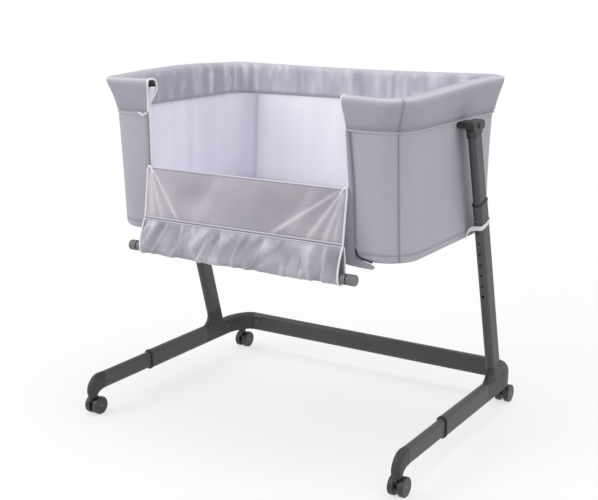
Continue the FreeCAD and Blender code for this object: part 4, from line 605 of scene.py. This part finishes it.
def band_shape(i, j):
    """Outside: slight puckers, a painted highlight along the top, painted shade in the seam at each
    corner and, at the front and the right end, over the lower part. Inside: gathers, painted with
    shade and highlights, held flat at the sewn edge, and painted lighter along the back as painted
    light. The sewn rows are painted in shade. At the opening the inner face is pinched to the cover."""
    column = rim_columns[i]
    kind = column[0]
    half_x, half_y, z, corner = band_section[j]
    spot, way = around(half_x, half_y, corner, column)
    outside = j <= LAST_OUTSIDE
    gathered = within(0.3 * (j - FIRST_INSIDE + 1))
    pucker = noise.noise(Vector((spot.x * 30, spot.y * 30, z * 3))) * 0.0022
    pucker += noise.noise(Vector((spot.x * 9, spot.y * 9, z * 6 + 5))) * 0.0018
    if outside:
        pucker *= 0.6
        # Painted shade in the seam at each corner, and a painted highlight along the top.
        painted_shading = 0.75 * seam_at(column) - 0.34 * bell(z - 0.888, 0.0065) * (1 - 0.7 * seam_at(column))
    else:
        held = 1 - 0.85 * ease((j - 17) / 3)
        fold = gathers(spot, z)
        pucker = min(0.5 * pucker * held - 0.0034 * fold * held * gathered, 0.0006)
        # Painted light: the inside of the back and its left corner are painted lighter; the gathers carry
        # painted shade and highlights.
        lit = {"back": 0.34, "back left": 0.17}.get(kind, 0.0)
        painted_shading = (0.22 - lit - 0.75 * fold) * gathered
    pucker -= 0.0018 * max(painted_shading, 0.0)
    # Painted shade over the lower part of the outside, at the front and the right end.
    if outside and kind in ("right return", "left return", "front right", "front left", "right end"):
        painted_shading += 0.12 * ease((0.845 - z) / 0.02) * (j > 0)
    # Painted shade along the sewn rows.
    if j in SEWN_ROWS:
        painted_shading = max(painted_shading, 0.35)
    # Where the crest is low, the inner face stands clear of the tube behind it.
    clear = 0.5 * min(crest(column), 0.0) * (FIRST_INSIDE <= j < 18)
    end = beside_opening(column)
    spot = spot + way * (pucker * (1 - end) + clear)
    spot.y += end * ease((0.861 - z) / 0.024) * (0.001 if outside else -0.0215)
    z += crest(column) * ease((z - 0.815) / 0.055)
    x = spread(spot.x, z) if way.y == -1.0 else spot.x
    return Vector((x, spot.y, z)), painted_shading


band = cloth_grid("rim_band_cloth", len(rim_columns), len(band_section), band_shape)
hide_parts("rim_band")
finish(band, outer_cloth, "cot", thickness=0.0022, levels=1)

# ------------------------------------------------------------------ mattress
# A thin foam mattress in a quilted pale cover, crowned, with its sides pulled in. It lies loose
# on the board, well below the sill.
MATTRESS_SIZE, MATTRESS_MIDDLE = (0.772, 0.470, 0.025), 0.5556
MATTRESS_CORNER, MATTRESS_EDGE = 0.055, 0.008
TOP_FACE = 0.560  # above this height a point belongs to the top
DIAMOND = 0.09  # the quilting's spacing along the mattress
bpy.ops.mesh.primitive_cube_add(size=1, location=(0, 0, MATTRESS_MIDDLE))
mattress = bpy.context.object
mattress.name = "foam_mattress"
mattress.scale = MATTRESS_SIZE
bpy.ops.object.transform_apply(location=True, scale=True)


def round_corners():
    """Rounds the upright corners first, and then every edge."""
    bpy.ops.mesh.select_all(action="DESELECT")
    bpy.ops.object.mode_set(mode="OBJECT")
    for edge in mattress.data.edges:
        a, b = (mattress.data.vertices[v].co for v in edge.vertices)
        edge.select = abs(a.z - b.z) > MATTRESS_SIZE[2] / 2
    bpy.ops.object.mode_set(mode="EDIT")
    bpy.ops.mesh.bevel(offset=MATTRESS_CORNER, segments=6, affect="EDGES")
    bpy.ops.mesh.select_all(action="SELECT")
    bpy.ops.mesh.bevel(offset=MATTRESS_EDGE, segments=2, affect="EDGES", clamp_overlap=True)


in_edit(mattress, round_corners)
remesh = mattress.modifiers.new("skin", "REMESH")
remesh.mode = "VOXEL"
remesh.voxel_size = 0.008
bpy.ops.object.modifier_apply(modifier="skin")
half_x, half_y = MATTRESS_SIZE[0] / 2, MATTRESS_SIZE[1] / 2
for vertex in mattress.data.vertices:
    x, y, z = vertex.co
    crown = (1 - (abs(x) / half_x) ** 2.4) * (1 - (abs(y) / half_y) ** 2.4)
    quilt = abs(math.sin(math.pi * (x + y) / DIAMOND)) * abs(math.sin(math.pi * (x - y) / DIAMOND))
    if z > TOP_FACE:
        vertex.co.z += 0.003 * max(0.0, crown) + 0.0022 * (quilt ** 0.5 - 0.5)
    drawn_in = 0.002 * bell(z - MATTRESS_MIDDLE, 0.009) * abs(math.sin(x * 40))
    if abs(y) > half_y - 0.015:
        vertex.co.y -= math.copysign(drawn_in, y)
mattress_cloth = woven("quilted_pale_jersey", "#E6E4EC", "#EFEDF4", "#C9C6D4", 0.0010, 0.1)
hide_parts("mattress")
finish(mattress, mattress_cloth, "cot")


# ------------------------------------------------------------------ piping
# Cord in a bias-cut sleeve, sewn in along its whole length: white at the opening's upright edges
# and round the band's ends, pale grey along the fold line and under the band.
FOLD_FRONT = 0.280  # how far in front of the middle the fold line is
UNDER_BAND = 0.8075  # the height of the cord under the band


def cord_along(name, points, radius, material, body):
    """A round cord along a smooth curve that its points steer, as a mesh."""
    line = bpy.data.curves.new(name, "CURVE")
    line.dimensions = "3D"
    run = line.splines.new("NURBS")
    run.points.add(len(points) - 1)
    for point, spot in zip(run.points, points):
        point.co = (*spot, 1.0)
    run.order_u = 3
    run.use_endpoint_u = True
    run.resolution_u = 3
    line.bevel_depth = radius
    line.bevel_resolution = 3
    line.use_fill_caps = True
    piece = bpy.data.objects.new(name, line)
    bpy.context.scene.collection.objects.link(piece)
    pick(piece)
    bpy.ops.object.convert(target="MESH")
    return finish(bpy.context.object, material, body, smooth=60)


white_piping = woven("white_cotton_piping", "#E9E9EE", "#F4F4F7", "#C8C8D0", 0.0006, 0.1)
for side, sign in (("left", -1), ("right", 1)):
    edge = [(sign * (edge_at(z) - 0.001), -cover_depth(z) + 0.004, z)
            for z in (0.682, 0.70, 0.73, 0.76, 0.79, 0.815)]
    cord_along(f"edge_piping_{side}", edge, 0.0022, white_piping, "cot")
seam_piping = woven("pale_seam_piping", "#C6C3CE", "#D1CED9", "#A09DAA", 0.0006, 0.1)
fold_cord = [(x * 0.0286, -FOLD_FRONT, FOLD) for x in range(-10, 11)]
fold_line = cord_along("fold_line_piping", fold_cord, 0.0017, seam_piping, "cot")
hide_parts("fold_piping")

# Binding round the open ends of the band: the pale loop that shows the rim tube's mouth.
for side, index, radius in (("right", 0, 0.0018), ("left", len(rim_columns) - 1, 0.0026)):
    loop = [band_shape(index, j)[0] for j in range(SEWN_ROWS[0], SEWN_ROWS[1] + 1)]
    loop = [(p.x, p.y + (0.0012 if j < 9 else -0.0012), p.z - 0.001) for j, p in enumerate(loop)]
    cord_along(f"band_end_binding_{side}", loop, radius, white_piping, "cot")

# The loose tail of the left binding, lying along the band's lower edge.
tail = [(-0.2815, -0.2875, 0.813), (-0.2850, -0.2900, 0.8075), (-0.2920, -0.2905, 0.8065),
        (-0.2990, -0.2895, 0.8090), (-0.3040, -0.2885, 0.8125)]
cord_along("band_binding_tail", tail, 0.0022, white_piping, "cot")

# One fine pale cord under the band's lower edge, from one side of the opening round to the other.
seam_line = [around(BODY_X + 0.0007, cover_depth(UNDER_BAND - 0.0015) + 0.0006, BODY_CORNER, c)[0]
             for c in rim_columns]
seam_line = [(spread(p.x, UNDER_BAND) if p.y < -0.27 else p.x, p.y, UNDER_BAND) for p in seam_line]
pale_piping = woven("pale_grey_piping", "#BCBAC6", "#C8C6D2", "#A4A2AE", 0.0006, 0.1)
cord_along("band_lower_piping", seam_line, 0.0017, pale_piping, "cot")


# ------------------------------------------------------------------ drop side
# Fine polyester mesh stretched from the fold line to a gathered cuff of the outer cloth,
# bound at its sides with white piping; the rail runs through the cuff.
LEAN = math.radians(8.0)
PANEL_WIDTH, PANEL_FALL, PANEL_TOP = 0.570, 0.125, 0.003  # its top is that far below the fold line
HOLE = 0.002


def hung(x, out, down):
    """A point of the hanging drop side: along it, outward from its sheet, and below the fold."""
    return Vector((x, -FOLD_FRONT - down * math.sin(LEAN) - out * math.cos(LEAN),
                   FOLD - down * math.cos(LEAN) + out * math.sin(LEAN)))


stretch_lines = (  # where a fold leaves the fold line, where it meets the cuff, its width and height
    (-0.272, -0.180, 0.0045, 1.0), (-0.276, -0.232, 0.0055, 0.6), (-0.279, -0.262, 0.0060, 0.5),
    (0.270, 0.085, 0.0085, 1.0), (0.276, 0.190, 0.0070, 0.9), (0.279, 0.235, 0.0060, 0.8),
    (0.281, 0.262, 0.0050, 0.5), (0.200, 0.135, 0.0160, 0.3), (-0.060, -0.140, 0.0220, 0.25))


def mesh_shape(i, j):
    """Stands out up to 3.6 mm in tight folds from the corners, and sags slightly between them.
    The folds carry painted highlights; the sags and the right half carry painted shade.
    """
    x = -PANEL_WIDTH / 2 + PANEL_WIDTH * i / 150
    fall = j / 36
    down = PANEL_TOP + PANEL_FALL * fall
    ridge = sum(high * bell(x - start - (end - start) * fall, wide * (0.6 + 0.6 * fall))
                for start, end, wide, high in stretch_lines)
    ridge *= ease(fall * 5 + 0.25) * (1 - 0.6 * ease((fall - 0.8) * 5))
    sag = noise.noise(Vector((x * 7, down * 12, 1))) * math.sin(math.pi * fall)
    # Painted shade over the right half and in the sags, painted highlight along the folds.
    shade = 0.30 * ease((x + 0.05) / 0.2) + 0.6 * max(-sag, 0.0)
    return hung(x, 0.0030 * min(ridge, 1.2) + 0.0030 * sag, down), shade - 1.1 * min(ridge, 1.0)


mesh_panel = cloth_grid("mesh_side", 151, 37, mesh_shape)
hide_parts("drop_panel")
net, tree, shader = surface("fine_polyester_mesh", Roughness=0.6, Sheen_Weight=0.3, Sheen_Roughness=0.4)
at = add(tree, "ShaderNodeTexCoord")
flat_way = add(tree, "ShaderNodeMapping", {"Vector": at.outputs["UV"],
                                           "Scale": (PANEL_WIDTH, PANEL_FALL, 1)})
# The holes are 2 mm wide, about twice the real size, so that they can be drawn at this distance.
hole = add(tree, "ShaderNodeTexVoronoi", {"Vector": flat_way.outputs[0], "Scale": 1 / HOLE,
                                          "Randomness": 1.0},
           voronoi_dimensions="2D", feature="DISTANCE_TO_EDGE")
thread = add(tree, "ShaderNodeMapRange", {0: hole.outputs["Distance"], 1: 0.05, 2: 0.30, 3: 1.0, 4: 0.55})
tree.links.new(thread.outputs[0], shader.inputs["Alpha"])
patch = add(tree, "ShaderNodeTexNoise", {"Vector": at.outputs["Object"], "Scale": 9.0, "Detail": 2.0})
blotch = add(tree, "ShaderNodeMapRange", {0: patch.outputs["Fac"], 1: 0.35, 2: 0.65})
tone = add(tree, "ShaderNodeMix", {"Factor": blotch.outputs[0], 6: linear("#BAB5C3"),
                                   7: linear("#D3C8D2")}, data_type="RGBA")
# Painted shade and painted highlight, from the panel's point attribute of painted shading.
fold = add(tree, "ShaderNodeAttribute", attribute_name="painted_shading")
mesh_in_shade = add(tree, "ShaderNodeMix", {"Factor": fold.outputs["Fac"], 6: tone.outputs[2],
                                   7: linear("#8C8893")}, data_type="RGBA")
stood = add(tree, "ShaderNodeMath", {0: fold.outputs["Fac"], 1: -1.0}, operation="MULTIPLY")
highlighted_tone = add(tree, "ShaderNodeMix", {"Factor": stood.outputs[0], 6: mesh_in_shade.outputs[2],
                                     7: linear("#EEEAF2")}, data_type="RGBA")
tree.links.new(highlighted_tone.outputs[2], shader.inputs["Base Color"])
finish(mesh_panel, net, "drop_side")

# The cuff: the gathers start at its seam and die away over the rail.
CUFF_WIDTH = 0.572
CUFF_TOP, RAIL, ROUND = 0.126, 0.200, 0.0146  # seam and rail below the fold, and the turn's radius
cuff_line = [(0.0016, CUFF_TOP), (0.0036, 0.131), (0.0062, 0.140), (0.0090, 0.151), (0.0112, 0.162),
             (0.0130, 0.174), (0.0143, 0.186)]
cuff_line += [(ROUND * math.cos(math.radians(a)), RAIL + ROUND * math.sin(math.radians(a)))
              for a in range(-15, 196, 15)]
cuff_line += [(-o, d) for o, d in reversed(cuff_line[:7])]


def cuff_shape(i, j):
    """Gathers in three sizes that lean to one side; k runs from 0 at the front seam, through 1 at
    the lowest point, to 2 at the back seam."""
    x = -CUFF_WIDTH / 2 + CUFF_WIDTH * i / 330
    out, down = cuff_line[j]
    front = j < len(cuff_line) / 2
    k = (down - CUFF_TOP) / (RAIL + ROUND - CUFF_TOP)
    k = k if front else 2 - k
    lean = x + (0.040 + 0.035 * noise.noise(Vector((x * 9, 1, 0)))) * min(k, 1.4)
    sharp = 1 - min(1.0, 3.0 * abs(noise.noise(Vector((lean * 24, k * 0.9, 2)))))
    fine = 1 - min(1.0, 3.4 * abs(noise.noise(Vector((lean * 62, k * 1.9, 9)))))
    broad = noise.noise(Vector((lean * 30, k * 1.5, 5)))
    tight = ease(0.5 + 2.2 * noise.noise(Vector((lean * 13, 6.0, k))))
    wave = 0.85 * sharp ** 1.5 + 0.55 * fine ** 2 * tight + 1.1 * broad - 0.36
    puff = 0.0055 * wave * ease(k * 6) * (1 - 0.55 * ease((min(k, 1.0) - 0.5) * 2))
    if down > 0.180:
        way = Vector((out, down - RAIL)).normalized()
    else:
        way = Vector((1 if front else -1, 0))
    out, down = out + way.x * puff, down + way.y * puff
    # Painted shade in the gathers' hollows, painted highlight on their ridges, and painted shade along both
    # seams.
    painted_shading = max(-0.55, min(0.75, -0.85 * wave + 0.20)) * ease(k * 6) * (1 - 0.35 * min(k, 1.0))
    if j in (0, len(cuff_line) - 1):
        painted_shading = 0.4
    return hung(x, out, down), painted_shading


cuff = cloth_grid("gathered_cuff", 331, len(cuff_line), cuff_shape)
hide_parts("drop_cuff")
finish(cuff, body_cloth, "drop_side", thickness=0.0012, levels=1, smooth=70)
for place, at_depth in (("upper", CUFF_TOP - 0.0030), ("lower", CUFF_TOP + 0.0030)):
    cuff_seam = [hung(-PANEL_WIDTH / 2 + PANEL_WIDTH * i / 20, 0.0040, at_depth) for i in range(21)]
    cord_along(f"cuff_seam_piping_{place}", cuff_seam, 0.0021, seam_piping, "drop_side")
# Binding down each side of the panel and round the cuff's open end.
for side, sign in (("left", -1), ("right", 1)):
    run = [hung(sign * x, 0.0015, d) for x, d in ((0.2690, 0.014), (0.2735, 0.0035), (0.2790, -0.0030),
                                                  (0.2845, -0.0035), (0.2868, 0.006), (0.2862, 0.030),
                                                  (0.2862, 0.075), (0.2862, 0.120), (0.2862, 0.126))]
    run += [hung(sign * 0.2865, o, d)
            for o, d in ((0.004, 0.132), (0.0100, 0.150), (0.0150, 0.172), (0.0165, 0.194), (0.0130, 0.2110),
                         (0.0, 0.2175), (-0.0130, 0.2110), (-0.0165, 0.194), (-0.0150, 0.172),
                         (-0.0100, 0.150), (-0.003, 0.130))]
    cord_along(f"drop_side_piping_{side}", run, 0.0024, white_piping, "drop_side")

# ------------------------------------------------------------------ zips
# A placket of the outer cloth covers the zip beside each edge of the opening. The right one's
# nylon coil shows at the placket's edge, and its loose foot turns outward below the body as a
# tab, like the tongue of a shoe, with the zip's dark pull over it.
coil_nylon = woven("dark_grey_zip_tape", "#85838F", "#93919D", "#6A6873", 0.0008, 0.0, roughness=0.7)
pull_nylon = woven("dark_nylon_zip_pull", "#34333A", "#45444C", "#222226", 0.0008, 0.0, roughness=0.6)
placket_foot = (  # the tab in millimetres: its lower edge's x and z, then its upper edge's
    (266, 524, 299, 533), (266.5, 511, 300, 525), (270, 503, 303, 519), (281, 500, 309, 515),
    (297, 499, 318, 515), (315, 498.3, 330, 513), (334, 497.8, 343, 510), (350, 498.5, 354, 504))
placket_heights = [z / 1000 for z in range(806, 536, -12)]
TAB_Y, PULL_Y = -0.2660, -0.2650


def widening(z):
    """How much wider the placket is at a height than at the band: 5.5 mm in 280 mm of fall."""
    return 0.0055 * within((BAND_FOOT - z) / 0.28)


def placket_shape(sign, i, j):
    """The placket down the edge, tucked under below the fold line, and then its foot. Its outer
    part and its outer edge are painted in shade.
    """
    across = i / 6
    # Painted shade over the outer part and along the outer edge.
    shade = 0.04 + 0.30 * ease((across - 0.55) / 0.2) + 0.30 * (i == 6)
    puff = 0.0030 * math.sin(math.pi * across)
    if j < len(placket_heights):
        z = placket_heights[j]
        under = 0.020 * ease((0.672 - z) / 0.02)
        x = edge_at(z) + 0.0005 - under + (0.0085 + widening(z) + under) * across
        return Vector((sign * x, -cover_depth(z) - 0.0012 - puff, z)), shade
    step = j - len(placket_heights)
    low_x, low_z, high_x, high_z = (v / 1000 for v in placket_foot[step])
    x, z = low_x + (high_x - low_x) * across, low_z + (high_z - low_z) * across
    return Vector((sign * x, TAB_Y - puff - 0.003 * step / (len(placket_foot) - 1), z)), shade


for side, sign in (("left", -1), ("right", 1)):
    rows = len(placket_heights) + (len(placket_foot) if side == "right" else 0)
    placket = cloth_grid(f"zip_placket_{side}", 7, rows, lambda i, j: placket_shape(sign, i, j))
    if side == "right":
        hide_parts("zips")
    finish(placket, outer_cloth, "cot", thickness=0.0012, levels=1)
coil = [(edge_at(z) + 0.0095 + widening(z), -cover_depth(z) - 0.0012, z)
        for z in (0.806, 0.76, 0.72, 0.68, 0.64, 0.60, 0.57, 0.548)]
cord_along("zip_coil_right", coil, 0.0017, coil_nylon, "cot")
pull = [(x / 1000, PULL_Y, z / 1000)
        for x, z in ((300, 540), (302, 530), (307, 522.5), (316, 518.5), (328, 516), (343, 512.5))]
cord_along("zip_pull_right", pull, 0.0024, pull_nylon, "cot")

# ------------------------------------------------------------------ column straps
# A loop of white webbing round each column, just above the body's foot. Its two ends run down
# and are sewn into the bottom edge of the cover.
webbing = woven("white_webbing", "#E4E4E8", "#F2F2F5", "#BEBEC6", 0.0010, 0.05)
TILT = math.radians(16.0)  # how far the columns lean toward the bed
COLUMN_X, COLUMN_Y, COLUMN_Z = 0.455, 0.222, 0.085  # a point low on the right column's axis
STRAP_UP, STRAP_WIDTH = 0.478, 0.012  # how far up the axis from there the strap goes round


def beside_column(x, across, along):
    """A point by the right column: from its plane, across it toward the back, and up its axis."""
    return Vector((COLUMN_X + x, COLUMN_Y + across * math.cos(TILT) - along * math.sin(TILT),
                   COLUMN_Z + across * math.sin(TILT) + along * math.cos(TILT)))


strap_path = [(-0.0335, -0.0292, -0.034), (-0.026, -0.0292, -0.010), (-0.014, -0.0292, -0.001),
              (0.000, -0.0292, 0.0), (0.009, -0.0285, 0.0), (0.0138, -0.0235, 0.0),
              (0.0144, 0.0, 0.0), (0.0138, 0.0235, 0.0), (0.009, 0.0285, 0.0), (0.000, 0.0292, 0.0),
              (-0.014, 0.0292, -0.001), (-0.026, 0.0292, -0.010), (-0.0335, 0.0292, -0.024)]


def strap_shape(sign, i, j):
    """The webbing's path round the column, and its width; the left strap is the right mirrored."""
    x, across, along = strap_path[i]
    spot = beside_column(x, across, STRAP_UP + along + STRAP_WIDTH * j / 2)
    return Vector((sign * spot.x, spot.y, spot.z)), 0.0


for side, sign in (("left", -1), ("right", 1)):
    strap = cloth_grid(f"column_strap_{side}", len(strap_path), 3, lambda i, j: strap_shape(sign, i, j))
    if side == "right":
        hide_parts("column_straps")
    finish(strap, webbing, "cot", thickness=0.0014, levels=1)
